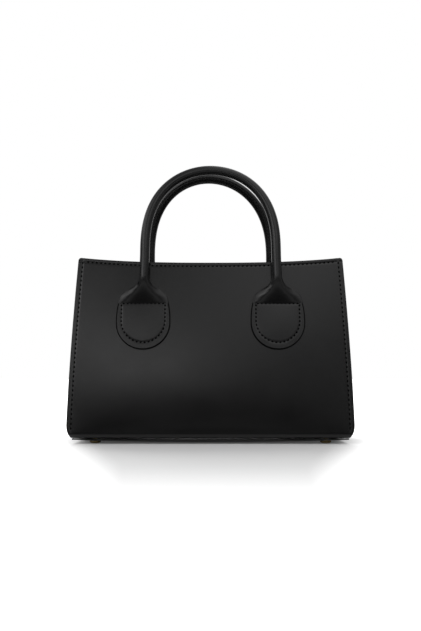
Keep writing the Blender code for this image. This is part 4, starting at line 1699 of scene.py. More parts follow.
    def top_route(self, drop: float, out: float, share: float) -> Route:
        """A line along the wall's top edge.

        Args:
            drop: How far under the edge it runs.
            out: How far outside the wall's face.
            share: How much of the way between the panels it takes.

        Returns:
            The line, facing up.
        """
        station = SHAPE.reach - SHAPE.gusset_top_drop - drop
        route = []
        outer = SHAPE.gusset_x(station)
        seam = self.half_depth(outer, station, SHAPE.flange_depth)
        top = SHAPE.level(station)
        for across in spread(-share, share, self.top_steps):
            x = (outer + out - SHAPE.gusset_fold(across, station)) * self.hand.value
            point = Vector((x, across * seam, top - SHAPE.gusset_drop(across, station)))
            route.append((point, Vector((0.0, 0.0, 1.0))))
        return route

    def edge_paint(self) -> Piece:
        """The paint on the top edge between the panels.

        Returns:
            The piece.
        """
        half = (SHAPE.leather + self.facing) / 2
        route = self.top_route(0.0, -half, self.edge_share)
        profile = bead(self.edge_proud, self.edge_sunk, half + self.edge_lap)
        item = sweep("gusset_edge_paint_" + self.hand.word, route, profile)
        return WARDROBE.dress(item, Palette.EDGE)

    def stitches(self) -> Piece:
        """Stitching along the top of the side wall, outside and inside.

        Returns:
            The piece.
        """
        outside = self.top_route(SHAPE.top_stitch_inset, 0.0, self.stitch_share)
        level = SHAPE.leather + self.facing_level(SHAPE.top_stitch_inset)
        inside = self.top_route(SHAPE.top_stitch_inset, -level, self.stitch_share)
        look = Vector((self.hand.value, 0.0, 0.0))
        routes = [[(point, look) for point, _ in outside], [(point, -look) for point, _ in inside]]
        item = Stitching().row("gusset_top_stitches_" + self.hand.word, routes)
        return WARDROBE.dress(item, Palette.THREAD)

    def build(self) -> None:
        """Build the whole side."""
        sheets = (self.leather(), self.cloth(), self.facing_strip())
        ride_all("bag_body", *sheets, self.edge_paint(), self.stitches())


@dataclass
class BaseAssembly:
    """The base leather, its lining, and the four feet."""

    bow: float = 0.0028
    bow_power: float = 0.7
    roll_share: float = 0.12
    seam_setback: float = 0.0035
    end_overhang: float = 0.0010
    clearance: float = 0.0003
    board_top: float = 0.0094
    foot_inset_x: float = 0.0255
    foot_inset_y: float = 0.0150
    foot_width: float = 0.0110
    foot_post: float = 0.0032
    foot_head: float = 0.0060
    foot_flat: float = 0.35
    foot_shoulder: float = 0.72
    foot_steps: int = 12
    lining: float = 0.0004
    lining_lift: float = 0.0006
    lining_crown: float = 0.0003

    @property
    def half_width(self) -> float:
        """Half of the base leather's width."""
        return SHAPE.gusset_x(0.0) + self.end_overhang

    @property
    def half_depth(self) -> float:
        """Half of the base leather's depth."""
        return SHAPE.base_depth / 2 - self.seam_setback

    def low(self, x: float, y: float) -> float:
        """The underside of the base leather.

        Args:
            x: The place across.
            y: The place from front to back.

        Returns:
            Its height.
        """
        across = min(abs(x) / self.half_width, 1.0)
        deep = min(abs(y) / self.half_depth, 1.0)
        roll = max(deep - (1.0 - self.roll_share), 0.0) / self.roll_share
        bow = (1.0 - across**2) ** self.bow_power * math.sqrt(max(1.0 - roll**2, 0.0))
        return SHAPE.seam_level - self.clearance - SHAPE.leather - self.bow * bow

    def leather(self) -> Piece:
        """The leather under the bag, rolled up to its seams.

        Returns:
            The piece.
        """

        def place(u: float, v: float) -> Vector:
            """A point of the underside."""
            x = self.half_width * math.sin(u * math.pi / 2)
            y = self.half_depth * math.sin(v * math.pi / 2)
            return Vector((x, y, self.low(x, y)))

        look, span = Vector((0.0, 0.0, -1.0)), (SHAPE.base_width, SHAPE.base_depth)
        item = sheet("base_leather", 72, 64, place, SHAPE.leather, look, span)
        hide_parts("base_panel")
        return WARDROBE.dress(item, Palette.PANEL)

    def cloth(self) -> Piece:
        """The lining on the base, slightly crowned over its board.

        Returns:
            The piece.
        """
        half_x = SHAPE.gusset_x(0.0) - SHAPE.leather * 1.5
        half_y = SHAPE.base_depth / 2 - SHAPE.bend_reach - self.clearance
        level = self.board_top + self.lining_lift + self.lining

        def place(u: float, v: float) -> Vector:
            """A point of the visible face."""
            crown = self.lining_crown * (1.0 - u * u) * (1.0 - v * v)
            return Vector((u * half_x, v * half_y, level + crown))

        look, span = Vector((0.0, 0.0, 1.0)), (half_x * 2, half_y * 2)
        item = sheet("base_lining_cloth", 60, 30, place, self.lining, look, span, 0.0001)
        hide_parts("base_lining")
        return WARDROBE.dress(item, Palette.LINING)

    def foot_profile(self, top: float) -> Line:
        """The dome, the grooved rim, the post and the upset head, as radius and height.

        Args:
            top: The height of the face that bears on the leather.

        Returns:
            The rings from the floor upwards.
        """
        radius = self.foot_width / 2
        flat, shoulder = radius * self.foot_flat, top * self.foot_shoulder
        rings = [(flat * 0.2, 0.0), (flat, 0.00002)]
        for turn in spread(0.0, math.pi / 2, self.foot_steps)[1:]:
            out = flat + (radius - flat) * math.sin(turn) * 0.97
            rings.append((out, shoulder * (1.0 - math.cos(turn))))
        rim_rings = ((0.97, 0.0001), (0.94, 0.0002), (0.96, 0.0003), (1.0, 0.00045))
        rings += [(radius * share, shoulder + lift) for share, lift in rim_rings]
        rings += [(radius, top - 0.0001), (radius * 0.98, top)]
        post, head = self.foot_post / 2, self.foot_head / 2
        rings += [(post, top), (post, self.board_top), (head, self.board_top)]
        return rings + [(head, self.board_top + 0.0002), (head * 0.84, self.board_top + 0.0003)]

    def foot(self, name: str, x: float, y: float) -> Piece:
        """One brass foot.

        Args:
            name: The name of the solid that it replaces.
            x: The place across.
            y: The place from front to back.

        Returns:
            The piece.
        """
        top = self.low(x - math.copysign(self.foot_width / 2, x), y) - self.clearance
        item = lathe(name + "_dome", self.foot_profile(top), Matrix.Translation((x, y, 0.0)))
        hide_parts(name)
        return WARDROBE.dress(item, Palette.BRASS)

    def feet(self) -> list[Piece]:
        """All four feet.

        Returns:
            The four pieces.
        """
        x = SHAPE.base_width / 2 - self.foot_inset_x
        y = SHAPE.base_depth / 2 - self.foot_inset_y
        return [
            self.foot(f"foot_{side.word}_{hand.word}", hand.value * x, side.value * y)
            for side in Side
            for hand in Hand
        ]

    def build(self) -> None:
        """Build the base, and dress what the frame keeps hidden in it."""
        ride_all("bag_body", self.leather(), self.cloth(), *self.feet())
        WARDROBE.dress(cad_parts["base_board"], Palette.BOARD)
        for side in Side:
            for hand in Hand:
                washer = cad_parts[f"foot_washer_{side.word}_{hand.word}"]
                WARDROBE.dress(washer, Palette.NICKEL)


@dataclass
class PocketAssembly:
    """The slip pocket on the back lining."""

    width: float = 0.120
    height: float = 0.075
    foot: float = 0.035
    depth: float = 0.0035
    cloth: float = 0.0005
    gape: float = 0.0030
    hem: float = 0.0100
    hem_step: float = 0.0004
    hem_slope: float = 0.0006
    stitch_inset: float = 0.0020
    hem_stitch_rise: float = 0.03
    hem_points: int = 41

    def level(self, u: float, v: float) -> float:
        """The pocket's visible face stands off most at the middle of its mouth.

        Args:
            u: The share across.
            v: The share along.

        Returns:
            The depth of the visible face.
        """
        share = (v + 1.0) / 2
        gape = self.gape * (1.0 - u * u) ** 1.5 * share**2
        over = share * self.height - self.height + self.hem
        hem = self.hem_step * smooth(over / self.hem_slope)
        return self.depth + self.cloth + gape + hem

    def place(self, u: float, v: float) -> Vector:
        """A point of the pocket's visible face."""
        station = self.foot + self.height * (v + 1.0) / 2
        return SHAPE.wall_point(Side.BACK, u * self.width / 2, station, self.level(u, v))

    def build(self) -> None:
        """Build the pocket and its stitching."""
        look, span = -SHAPE.outward(Side.BACK), (self.width, self.height)
        pocket = sheet("slip_pocket_cloth", 60, 80, self.place, self.cloth, look, span, 0.0001)
        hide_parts("slip_pocket")
        WARDROBE.dress(pocket, Palette.LINING)
        side = 1.0 - self.stitch_inset / (self.width / 2)
        low = self.stitch_inset / self.height * 2 - 1.0
        path = [(-side, v) for v in spread(1.0, low, 20)[:-1]]
        path += [(u, low) for u in spread(-side, side, 30)[:-1]]
        path += [(side, v) for v in spread(low, 1.0, 20)]
        hem_v = 1.0 - self.hem / self.height * 2 + self.hem_stitch_rise
        shares = [(step + 0.5) / self.hem_points for step in range(self.hem_points)]
        hem = [(mix(-1.0, 1.0, share), hem_v) for share in shares]
        routes = [[(self.place(u, v), look) for u, v in line] for line in (path, hem)]
        seams = Stitching(0.0030, 0.0021, 0.0005, 0.0003).row("slip_pocket_stitches", routes)
        WARDROBE.dress(seams, Palette.THREAD)
        ride_all("bag_body", pocket, seams)


@dataclass
class SnapAssembly:
    """The magnetic snap inside the mouth."""

    drop: float = 0.0130
    width: float = 0.0150
    thickness: float = 0.0018
    boss: float = 0.0060
    boss_height: float = 0.0010
    dimple: float = 0.0012
    post: float = 0.0030
    post_start: float = 0.0028
    seat: float = 0.0048
    edge: float = 0.0005
    edge_steps: int = 4

    def matrix(self, side: Side) -> Matrix:
        """A frame on the facing, with Z pointing into the bag.

        Args:
            side: The wall that carries it.

        Returns:
            The frame.
        """
        station = SHAPE.top_station(0.0) - self.drop
        inward = -SHAPE.outward(side)
        across = Vector((1.0, 0.0, 0.0))
        matrix = Matrix((across, inward.cross(across), inward)).transposed().to_4x4()
        matrix.translation = SHAPE.plane_point(side, 0.0, station, -SHAPE.belly(0.0, station))
        return matrix

    def profile(self, side: Side) -> Line:
        """Radius and height of each ring: the post, the disc with its groove, and the middle.

        Args:
            side: The wall that carries it.

        Returns:
            The rings.
        """
        radius, edge = self.width / 2, self.edge
        top = self.seat + self.thickness
        rings = [(self.post / 2, self.post_start), (self.post / 2, self.seat)]
        rings += [(radius * 0.96, self.seat), (radius, self.seat + edge * 0.4)]
        for turn in spread(0.0, math.pi / 2, self.edge_steps):
            inset, drop = edge * (1.0 - math.cos(turn)), edge * (1.0 - math.sin(turn))
            rings.append((radius - inset, top - drop))
        groove = ((0.78, 0.0), (0.74, 0.00012), (0.70, 0.00012), (0.66, 0.0))
        rings += [(radius * share, top - depth) for share, depth in groove]
        if side is Side.FRONT:
            boss, crown = self.boss / 2, top + self.boss_height
            rings += [(boss + 0.0004, top), (boss, top + 0.0002), (boss, crown - 0.0003)]
            return rings + [(boss - 0.0003, crown), (boss * 0.2, crown)]
        hole, floor = self.boss / 2 + 0.0003, top - self.dimple
        rings += [(hole + 0.0003, top), (hole, top - 0.0003)]
        return rings + [(hole, floor), (hole * 0.2, floor)]

    def build(self) -> None:
        """Build both halves and dress their hidden washers."""
        for side, name in ((Side.FRONT, "snap_stud"), (Side.BACK, "snap_socket")):
            item = lathe(name + "_disc", self.profile(side), self.matrix(side))
            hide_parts(name)
            WARDROBE.dress(item, Palette.NICKEL)
            ride_all("bag_body", item)
            WARDROBE.dress(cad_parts[name + "_washer"], Palette.NICKEL)


@dataclass
class HandleAssembly:
    """One handle: a strip of leather, flat at its two tabs and rolled into a tube between them."""

    side: Side
    tab_spacing: float = 0.129
    tab_width: float = 0.0515
    tab_reach: float = 0.0444
    hinge_height: float = 0.1271
    length: float = 0.1350
    spacing: float = 0.127
    arch_height: float = 0.084
    arch_power: float = 2.55
    tube_radius: float = 0.0047
    stand_off: float = 0.0060
    lift: float = 0.00121
    bow_from: float = 0.050
    lean_in: float = 0.0080
    stretch: float = 0.0018
    back_sway: float = -0.0021
    face_level: float = 0.0016
    leather: float = 0.0012
    roll_end: float = 0.0255
    seam_gap: float = 0.004
    fullness: float = 0.62
    hump_power: float = 1.75
    padding: float = 0.0004
    backing: float = 0.0005
    backing_play: float = 0.0001
    backing_low: float = -0.0020
    backing_reach: float = 0.92
    backing_margin: float = 0.0008
    margin_from: float = 0.0005
    margin_rise: float = 0.0090
    stitch_radius: float = 0.0209
    stitch_reach: float = 0.0380
    groove_fade: float = 0.0012
    groove_end: float = 0.004
    edge_proud: float = 0.00035
    edge_sunk: float = 0.00065
    edge_half: float = 0.00074
    edge_end: float = 0.0120
    edge_fade: float = 0.0080
    edge_tuck: float = 0.0005
    edge_draw: float = 0.02
    bend_start: float = 0.0010
    bend_end: float = 0.0095
    seam_offset: float = 0.0012
    cord_start: float = 0.0235
    cord_play: float = 0.00015
    cord_strands: int = 3
    cord_lay: float = 0.012
    cord_valley: float = 0.14
    cord_sides: int = 24
    columns: int = 84
    round_rows: int = 30
    straight_rows: int = 24
    roll_rows: int = 34
    leg_rows: int = 10
    arch_rows: int = 84
    fine: int = 800
    half_widths: tuple[tuple[float, float], ...] = (
        *((-0.0186, 0.02575), (-0.0130, 0.02568), (-0.0060, 0.02510), (0.0, 0.02415)),
        *((0.0057, 0.02400), (0.0086, 0.02380), (0.0114, 0.02220), (0.0143, 0.02090)),
        *((0.0172, 0.01810), (0.0201, 0.01850), (0.0255, 0.01800)),
    )
    rolling: tuple[tuple[float, float], ...] = (
        *((0.0, 0.0), (0.0057, 0.05), (0.0086, 0.11), (0.0114, 0.19), (0.0143, 0.31)),
        *((0.0172, 0.47), (0.0201, 0.67), (0.0229, 0.88), (0.0255, 1.0)),
    )

    @property
    def station(self) -> float:
        """The hinge's station on the panel's slope."""
        return self.hinge_height / math.cos(SHAPE.lean) - SHAPE.bend_reach

    @property
    def body(self) -> str:
        """The body that the handle swings with."""
        return self.side.word + "_handle"

    @property
    def foot(self) -> float:
        """How far over the hinge the arch starts."""
        return self.length - self.arch_height

    @property
    def stitch_centre(self) -> float:
        """The rise of the middle of the stitches' round end."""
        return self.stitch_radius - self.stitch_reach

    def leg_x(self, rise: float) -> float:
        """How far a leg's middle stands from the bag's middle, a little more at the tab."""
        toe = (self.tab_spacing - self.spacing) / 2
        return self.spacing / 2 + toe * (1.0 - smooth(rise / self.foot))

    def point(self, x: float, rise: float, out: float) -> Vector:
        """A point of the handle.

        Args:
            x: The place across.
            rise: The way up the slope from the hinge.
            out: The way out from the panel's own face, or over the hinge from its plane.

        Returns:
            The point in the bag's frame.
        """
        station = self.station + rise
        hug = SHAPE.belly(x, station)
        lift = mix(hug, self.lift, smooth(rise / self.roll_end))
        bow = (max(rise - self.bow_from, 0.0) / (self.length - self.bow_from)) ** 2
        if self.side is Side.BACK:
            x += self.back_sway * bow
        depth = self.lean_in * bow - out - lift
        return SHAPE.plane_point(self.side, x, station + self.stretch * bow, depth)

    def hump(self, rise: float) -> float:
        """How far the leather has risen from flat to the tube's full height."""
        share = min(max(rise / self.roll_end, 0.0), 1.0)
        return 1.0 - (1.0 - share) ** self.hump_power

    def section(self, u: float, rise: float) -> tuple[float, float]:
        """Sideways place and height of one point of the strip's section.

        Args:
            u: The share across.
            rise: The way up from the hinge.

        Returns:
            The place and the height.
        """
        turn = math.pi * u * (1.0 - self.seam_gap)
        rolled = curve_through(self.rolling, rise)
        flat_x = u * curve_through(self.half_widths, rise)
        x = mix(flat_x, self.tube_radius * math.sin(turn), rolled)
        swell = ((1.0 + math.cos(turn)) / 2) ** mix(self.fullness, 1.0, rolled)
        height = self.hump(rise) * 2 * self.tube_radius * swell
        return x, self.face_level + height - self.dent(x, rise)

    def pad(self, x: float, rise: float) -> float:
        """How far the tab's face bulges inside its line of stitches.

        Args:
            x: The place across.
            rise: The way up from the hinge.

        Returns:
            The height of the bulge.
        """
        half = self.stitch_reach / 2
        down = (rise + half) / half
        across = x / self.stitch_radius
        return self.padding * max(0.0, 1.0 - across * across) * max(0.0, 1.0 - down * down)

    def tab_level(self, x: float, rise: float) -> float:
        """Height of the tab's face over the panel."""
        return self.face_level + self.pad(x, rise) - self.dent(x, rise)

    def dent(self, x: float, rise: float) -> float:
        """The groove of the tab's stitching.

        Args:
            x: The place across.
            rise: The way up from the hinge.

        Returns:
            Its depth.
        """
        radius, centre = self.stitch_radius, self.stitch_centre
        if rise > self.groove_end:
            return 0.0
        if rise > centre:
            beside = SHAPE.groove(abs(x) - radius) * (1.0 - smooth(rise / self.groove_fade))
            return max(beside, SHAPE.groove(rise) if abs(x) < radius else 0.0)
        return SHAPE.groove(math.hypot(x, rise - centre) - radius)

    def tab_rings(self, centre_x: float) -> list[list[Vector]]:
        """The flat part, from the tab's round end to the hinge.

        Args:
            centre_x: The place of the tab's middle.

        Returns:
            Its rows of points, from below.
        """
        radius = self.tab_width / 2
        centre = radius - self.tab_reach
        shares = spread(-1.0, 1.0, self.columns)
        rows = []
        for row in range(self.round_rows):
            down = row / self.round_rows - 1.0
            across, along = radius * math.sqrt(1.0 - down * down / 2), radius * down
            rows.append([(across * u, centre + along * math.sqrt(1.0 - u * u / 2)) for u in shares])
        for row in range(self.straight_rows):
            rise = centre * (1.0 - row / self.straight_rows)
            half = curve_through(self.half_widths, rise)
            rows.append([(half * u, rise) for u in shares])
        return [
            [self.point(centre_x + x, rise, self.tab_level(x, rise)) for x, rise in row]
            for row in rows
        ]

    def arch_curve(self) -> list[Vector]:
        """The arch's centreline, finely cut, as x and rise.

        Returns:
            The points.
        """
        curve = []
        for turn in spread(0.0, math.pi, self.fine):
            rise = self.foot + self.arch_height * math.sin(turn) ** (2 / self.arch_power)
            curve.append(Vector((-self.spacing / 2 * math.cos(turn), rise)))
        return curve

    def centreline(self) -> list[tuple[Vector, float]]:
        """Middle of each rolled section with the angle of its course, from hinge to hinge.

        Returns:
            The middles and angles, in order.
        """
        leg = []
        for row in range(self.roll_rows + self.leg_rows):
            if row < self.roll_rows:
                rise = self.roll_end * row / self.roll_rows
            else:
                rise = mix(self.roll_end, self.foot, (row - self.roll_rows) / self.leg_rows)
            leg.append((Vector((-self.leg_x(rise), rise)), math.pi / 2))
        curve = self.arch_curve()
        lengths = running_lengths(curve)
        arch = []
        goals = spread(0.0, lengths[-1], self.arch_rows)
        for row, (index, share) in enumerate(walk(lengths, goals)):
            run = curve[min(index + 3, self.fine)] - curve[max(index - 3, 0)]
            angle = math.atan2(run.y, run.x)
            if row in (0, self.arch_rows):
                angle = math.copysign(math.pi / 2, self.arch_rows / 2 - row)
            arch.append((curve[index].lerp(curve[index + 1], share), angle))
        mirrored = [(Vector((-point.x, point.y)), -angle) for point, angle in reversed(leg)]
        return leg + arch + mirrored

    def rolled_rings(self) -> list[list[Vector]]:
        """The flares, legs and arch.

        Returns:
            Their rings of points, in order.
        """
        rings = []
        for middle, angle in self.centreline():
            ring = []
            for u in spread(-1.0, 1.0, self.columns):
                rise = middle.y if abs(angle) == math.pi / 2 else self.roll_end
                across, out = self.section(u, rise)
                x = middle.x + across * math.sin(angle)
                up = middle.y - across * math.cos(angle)
                ring.append(self.point(x, up, out))
            rings.append(ring)
        return rings

    def strip(self) -> Piece:
        """The whole strip of leather from tab to tab.

        Returns:
            The piece.
        """
        half = self.tab_spacing / 2
        first = self.tab_rings(-half)
        last = [list(reversed(ring)) for ring in reversed(self.tab_rings(half))]
        rings = first + self.rolled_rings() + last
        rows = len(rings) - 1

        def place(u: float, v: float) -> Vector:
            """A point of the outer face."""
            row = rings[round((v + 1.0) / 2 * rows)]
            return row[round((u + 1.0) / 2 * self.columns)]

        name = self.side.word + "_handle_leather"
        look, span = SHAPE.outward(self.side), (self.tab_width, 0.40)
        item = sheet(name, self.columns, rows, place, self.leather, look, span, 0.0003)
        tabs = [f"handle_tab_{self.side.word}_{hand.word}" for hand in Hand]
        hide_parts(self.side.word + "_handle_sleeve", *tabs)
        return WARDROBE.dress(item, Palette.HANDLE)

    def closing(self, hand: Hand) -> Piece:
        """The thin leather that closes the flare's back.

        Args:
            hand: The left or the right.

        Returns:
            The piece.
        """
        level = self.face_level - self.leather - self.backing_play

        def place(u: float, v: float) -> Vector:
            """A point of its outer face."""
            rise = mix(self.backing_low, self.roll_end * self.backing_reach, (v + 1.0) / 2)
            open_share = 1.0 - curve_through(self.rolling, rise)
            grown = smooth((rise - self.margin_from) / self.margin_rise)
            margin = mix(-self.backing_margin, self.backing_margin, grown)
            width = curve_through(self.half_widths, rise) * open_share + margin
            return self.point(hand.value * self.leg_x(rise) + u * width, rise, level)

        name = f"{self.side.word}_handle_backing_{hand.word}"
        look, span = SHAPE.outward(self.side), (self.tab_width, self.roll_end)
        item = sheet(name, 24, 30, place, self.backing, look, span, 0.00012)
        return WARDROBE.dress(item, Palette.HANDLE)

    def blend(self, item: Piece) -> None:
        """Bake a piece's place into its mesh; the hinge's two bend points are worked out but not
        used.

        Args:
            item: The piece.
        """
        start = self.point(0.0, self.bend_start, 0.0)
        end = self.point(0.0, self.bend_end, 0.0)
        self.body
        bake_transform(item)
        log.info("%s bends at the hinge", item.name)

    @staticmethod
    def d_line(side: Line, radius: float, centre: float, steps: int) -> Line:
        """A line down one side of a tab, round its low end and up the other side.

        Args:
            side: The left side, from the top down, as x and rise.
            radius: The low end's radius.
            centre: The rise of its middle.
            steps: How finely it is cut.

        Returns:
            The whole line.
        """
        turns = spread(0.0, math.pi, steps)
        low = [(-radius * math.cos(turn), centre - radius * math.sin(turn)) for turn in turns]
        return side + low + [(-x, rise) for x, rise in reversed(side)]

    def tab_stitches(self, hand: Hand) -> Piece:
        """The D shaped line of stitches on one tab.

        Args:
            hand: The left or the right.

        Returns:
            The piece.
        """
        centre_x = hand.value * self.tab_spacing / 2
        radius, centre = self.stitch_radius, self.stitch_centre
        side = [(-radius, rise) for rise in spread(0.0, centre, 12)[:-1]]
        line = self.d_line(side, radius, centre, 40)
        across = [(x, 0.0) for x in spread(-radius, radius, 20)]
        level = self.face_level - SHAPE.stitch_groove
        look = SHAPE.outward(self.side)
        routes = [
            [(self.point(centre_x + x, rise, level + self.pad(x, rise)), look) for x, rise in path]
            for path in (line, across)
        ]
        name = f"{self.side.word}_tab_stitches_{hand.word}"
        item = Stitching(0.0038, 0.0030, 0.0019).row(name, routes)
        return WARDROBE.dress(item, Palette.THREAD)

    def edge_sink(self, rise: float) -> float:
        """How far the edge paint has sunk under the flare's rim, first by half and then whole.

        Args:
            rise: The way up from the hinge.

        Returns:
            A share, none on the tab.
        """
        half_fade = self.edge_fade / 2
        first = smooth((rise + half_fade) / self.edge_fade)
        return (first + smooth((rise - self.edge_end + half_fade) / half_fade)) / 2

    def tab_edge(self, hand: Hand) -> Piece:
        """The edge paint round one tab, kept dark and matt so that it also paints the tab's shadow
        line.

        Args:
            hand: The left or the right.

        Returns:
            The piece.
        """
        centre_x = hand.value * self.tab_spacing / 2
        radius = self.tab_width / 2
        centre = radius - self.tab_reach
        side = []
        for rise in spread(self.edge_end, centre, 28)[:-1]:
            flat = 1.0 - curve_through(self.rolling, rise)
            side.append((-curve_through(self.half_widths, rise) * flat, rise))
        level = self.face_level - self.leather / 2
        points = []
        for x, rise in self.d_line(side, radius, centre, 60):
            sink = self.edge_sink(rise)
            drawn = x * (1.0 - self.edge_draw * sink)
            points.append(self.point(centre_x + drawn, rise, level - self.edge_tuck * sink))
        route = rim(points, SHAPE.outward(self.side), self.point(centre_x, centre, level))
        name = f"{self.side.word}_tab_edge_{hand.word}"
        item = sweep(name, route, bead(self.edge_proud, self.edge_sunk, self.edge_half))
        return WARDROBE.dress(item, Palette.TAB_EDGE_AND_SHADOW_LINE)

    def seam(self) -> Piece:
        """Stitching along the seam on the tube's inner face.

        Returns:
            The piece.
        """
        look, radius = -SHAPE.outward(self.side), self.tube_radius
        out = self.stand_off - radius * math.cos(self.seam_offset / radius)
        routes = []
        for offset in (-self.seam_offset, self.seam_offset):
            route = []
            for middle, angle in self.centreline():
                if middle.y > self.roll_end:
                    aside, up = offset * math.sin(angle), -offset * math.cos(angle)
                    normal = look + Vector((aside, 0.0, up)) / radius
                    point = self.point(middle.x + aside, middle.y + up, out)
                    route.append((point, normal.normalized()))
            routes.append(route)
        name = self.side.word + "_handle_seam_stitches"
        item = Stitching(0.0036, 0.0022, 0.0005, 0.00025).row(name, routes)
        return WARDROBE.dress(item, Palette.THREAD)

    def core(self) -> Piece:
        """The twisted cord inside the tube, from neck to neck.

        Returns:
            The piece.
        """
        points = [
            self.point(middle.x, middle.y, self.stand_off)
            for middle, _ in self.centreline()
            if middle.y >= self.cord_start
        ]
        radius = self.tube_radius - self.leather - self.cord_play
        rows = len(points) - 1
        look = SHAPE.outward(self.side)
        lengths = running_lengths(points)

        def place(u: float, v: float) -> Vector:
            """A point of the cord."""
            index = round((v + 1.0) / 2 * rows)
            turn = math.pi * u
            twist = lengths[index] / self.cord_lay * math.tau / self.cord_strands
            crest = abs(math.cos((turn - twist) * self.cord_strands / 2))
            reach = radius * (1.0 - self.cord_valley * (1.0 - crest))
            along = (points[min(index + 1, rows)] - points[max(index - 1, 0)]).normalized()
            across = along.cross(look).normalized()
            return points[index] + (look * math.cos(turn) + across * math.sin(turn)) * reach

        name = self.side.word + "_handle_cord"
        item = grid(name, self.cord_sides, rows, place, (0.02, lengths[-1]))
        close_tube(item)
        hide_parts(self.side.word + "_handle_core")
        return WARDROBE.dress(shade(item, 60.0), Palette.CORD)

    def build(self) -> None:
        """Build the handle with its tabs."""
        self.blend(self.strip())
        for hand in Hand:
            self.blend(self.closing(hand))
            self.blend(self.tab_edge(hand))
            ride_all("bag_body", self.tab_stitches(hand))
        ride_all(self.body, self.seam(), self.core())


@dataclass(frozen=True)
class SkyLight:
    """A soft round light in the sky.

    Args:
        towards: The direction in which it stands.
        near: How far from that direction it is still full.
        far: How far from that direction it ends.
        level: How bright it is.
    """

    towards: Triple
    near: float
    far: float
    level: float


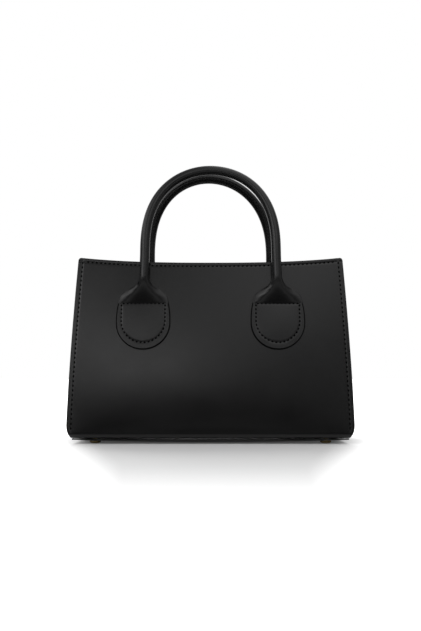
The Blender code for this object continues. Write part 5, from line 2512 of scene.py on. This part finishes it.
@dataclass
class Studio:
    """Floor, backdrop, light and camera."""

    lens: float = 45.5
    camera_place: Triple = (0.0, -0.8025, 0.068)
    camera_pitch: float = 4.0
    lamp_place: Triple = (-0.35, 1.0, 1.06)
    lamp_size: float = 1.4
    lamp_power: float = 15.7
    sky_lights: tuple[SkyLight, ...] = (
        SkyLight((-0.66, -0.50, 0.56), 0.20, 0.56, 0.7),
        SkyLight((-0.50, -0.77, 0.38), 0.06, 0.32, 0.9),
        SkyLight((-0.115, -0.955, 0.268), 0.02, 0.14, 0.42),
    )
    # The floor's glow to the camera: full far from the bag, and the low glow of the painted shade
    # round its foot.
    glow: float = 0.91
    painted_shade_glow: float = 0.06

    def camera(self) -> None:
        """The camera at the photograph's angle."""
        data = bpy.data.cameras.new("camera")
        data.sensor_width = 36.0
        data.lens = self.lens
        data.clip_start = 0.01
        item = bpy.data.objects.new("camera", data)
        bpy.context.scene.collection.objects.link(item)
        item.location = self.camera_place
        item.rotation_euler = (math.radians(90.0 + self.camera_pitch), 0.0, 0.0)
        bpy.context.scene.camera = item

    def lamp(self) -> None:
        """A soft square lamp behind and over the bag, whose shadow falls towards the camera."""
        data = bpy.data.lights.new("back_light", "AREA")
        data.shape = "RECTANGLE"
        data.size = data.size_y = self.lamp_size
        data.energy = self.lamp_power
        item = bpy.data.objects.new("back_light", data)
        bpy.context.scene.collection.objects.link(item)
        item.location = self.lamp_place
        item.rotation_euler = (-Vector(self.lamp_place)).to_track_quat("-Z", "Y").to_euler()
        item.visible_glossy = False

    def dome(self, w: Wiring, parts: bpy.types.NodeOutputs) -> Socket:
        """The level of the soft dome, which starts over a slanting edge and fades to the right.

        Args:
            w: The world's wiring.
            parts: The X, Y and Z of the direction that is seen.

        Returns:
            The level in that direction.
        """
        tilt = w.math("MULTIPLY_ADD", parts["X"], 0.196, parts["Z"])
        edge = w.ramp(tilt, 0.165, 0.205, 0.0, 0.58)
        aside = w.math("MULTIPLY_ADD", parts["X"], -0.656, 1.0)
        over = w.math("SUBTRACT", parts["Z"], 0.33)
        reach = w.length(w.add("CombineXYZ", {"X": parts["X"], "Y": over}).outputs[0])
        slope = w.math("SUBTRACT", parts["Z"], 0.342)
        near = w.math("MULTIPLY", w.ramp(reach, 0.38, 0.84, 56.0, 0.0), slope)
        twist = w.math("MULTIPLY_ADD", near, parts["X"], 1.0)
        twist = w.math("MINIMUM", w.math("MAXIMUM", twist, 0.4), 1.9)
        skirting = w.ramp(parts["Z"], -0.02, 0.09, 0.09, 0.013)
        return w.math("MULTIPLY_ADD", w.math("MULTIPLY", edge, aside), twist, skirting)

    def world(self) -> None:
        """White to the camera; for light and gloss a dome with soft lights and a bright rear."""
        world = bpy.data.worlds.new("studio")
        world.use_nodes = True
        bpy.context.scene.world = world
        w = Wiring(world.node_tree)
        coords = w.coords("Generated")
        parts = w.split(coords)
        level = self.dome(w, parts)
        for light in self.sky_lights:
            away = w.distance(coords, light.towards)
            level = w.math("ADD", level, w.ramp(away, light.near, light.far, light.level, 0.0))
        leftwards = w.math("MULTIPLY_ADD", parts["X"], -0.5, 1.0)
        rear = w.math("MULTIPLY", w.ramp(parts["Y"], 0.35, 0.95, 0.0, 0.65), leftwards)
        level = w.math("ADD", level, rear)
        seen = w.add("LightPath", {}).outputs["Is Camera Ray"]
        background = world.node_tree.nodes["Background"].inputs
        w.feed(background["Strength"], w.add("Mix", {0: seen, 2: level, 3: 1.0}).outputs[0])
        background["Color"].default_value = (1.0, 1.0, 1.0, 1.0)

    def floor(self) -> None:
        """A wide pale floor: dark to glossy rays round the bag, a painted reflection, and glowing to
        the camera least round the bag, a painted shade.
        """
        bpy.ops.object.select_all(action="DESELECT")
        bpy.ops.mesh.primitive_plane_add(size=12.0, location=(0.0, 0.0, 0.0))
        item = bpy.context.active_object
        item.name = "floor"
        material = bpy.data.materials.new("pale_floor")
        material.use_nodes = True
        w = Wiring(material.node_tree)
        shader = material.node_tree.nodes["Principled BSDF"].inputs
        shader["Roughness"].default_value = 0.9
        shader["Specular IOR Level"].default_value = 0.0
        shader["Emission Color"].default_value = (1.0, 1.0, 1.0, 1.0)
        rays = w.add("LightPath", {}).outputs
        place = w.coords("Object")
        reach = w.length(w.mapped(place, Scale=(0.35, 1.0, 1.0)))
        # Painted reflection: to glossy rays the floor is dark from a few centimetres round the bag
        # outwards, easing to about half as dark far away, so the leather reflects darkness there.
        close, wide = w.ramp(reach, 0.07, 0.12, 0.0, 1.0), w.ramp(reach, 0.25, 0.90, 1.0, 0.45)
        painted_dark_reflection = w.math("MULTIPLY", w.math("MULTIPLY", close, wide), rays["Is Glossy Ray"])
        w.feed(shader["Base Color"], w.blend(painted_dark_reflection, (0.86, 0.86, 0.86), (0.02, 0.02, 0.02)))
        # Painted shade, partly real: the lamp's shadow is real, but the camera glow stays low in a
        # patch round the bag that narrows away from it front and back, so this patch sets where the
        # shadow shows and ends.
        spot = w.split(place)
        beside = w.math("ABSOLUTE", w.math("SUBTRACT", spot["X"], 0.003))
        beside = w.math("MULTIPLY_ADD", w.math("ABSOLUTE", spot["Y"]), 0.25, beside)
        sides, ends = w.ramp(beside, 0.118, 0.185, 0.0, 1.0), w.ramp(reach, 0.20, 0.62, 0.0, 1.0)
        outside_painted_shade = w.math("MAXIMUM", sides, ends)
        glow = w.math("MULTIPLY_ADD", outside_painted_shade, self.glow, self.painted_shade_glow)
        w.feed(shader["Emission Strength"], w.math("MULTIPLY", rays["Is Camera Ray"], glow))
        item.data.materials.append(material)

    def build(self) -> None:
        """Set up the studio."""
        self.camera()
        self.floor()
        self.world()
        self.lamp()
        log.info("studio set up")


def main() -> None:
    """Build the studio and the bag, one sub-assembly after another."""
    logging.basicConfig(level=logging.INFO, format="%(name)s: %(message)s")
    bpy.context.scene.view_settings.view_transform = "Standard"
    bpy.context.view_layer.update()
    Studio().build()
    for side in Side:
        WallAssembly(side).build()
    for hand in Hand:
        GussetAssembly(hand).build()
    BaseAssembly().build()
    PocketAssembly().build()
    SnapAssembly().build()
    for side in Side:
        HandleAssembly(side).build()


if __name__ == "__main__":
    main()
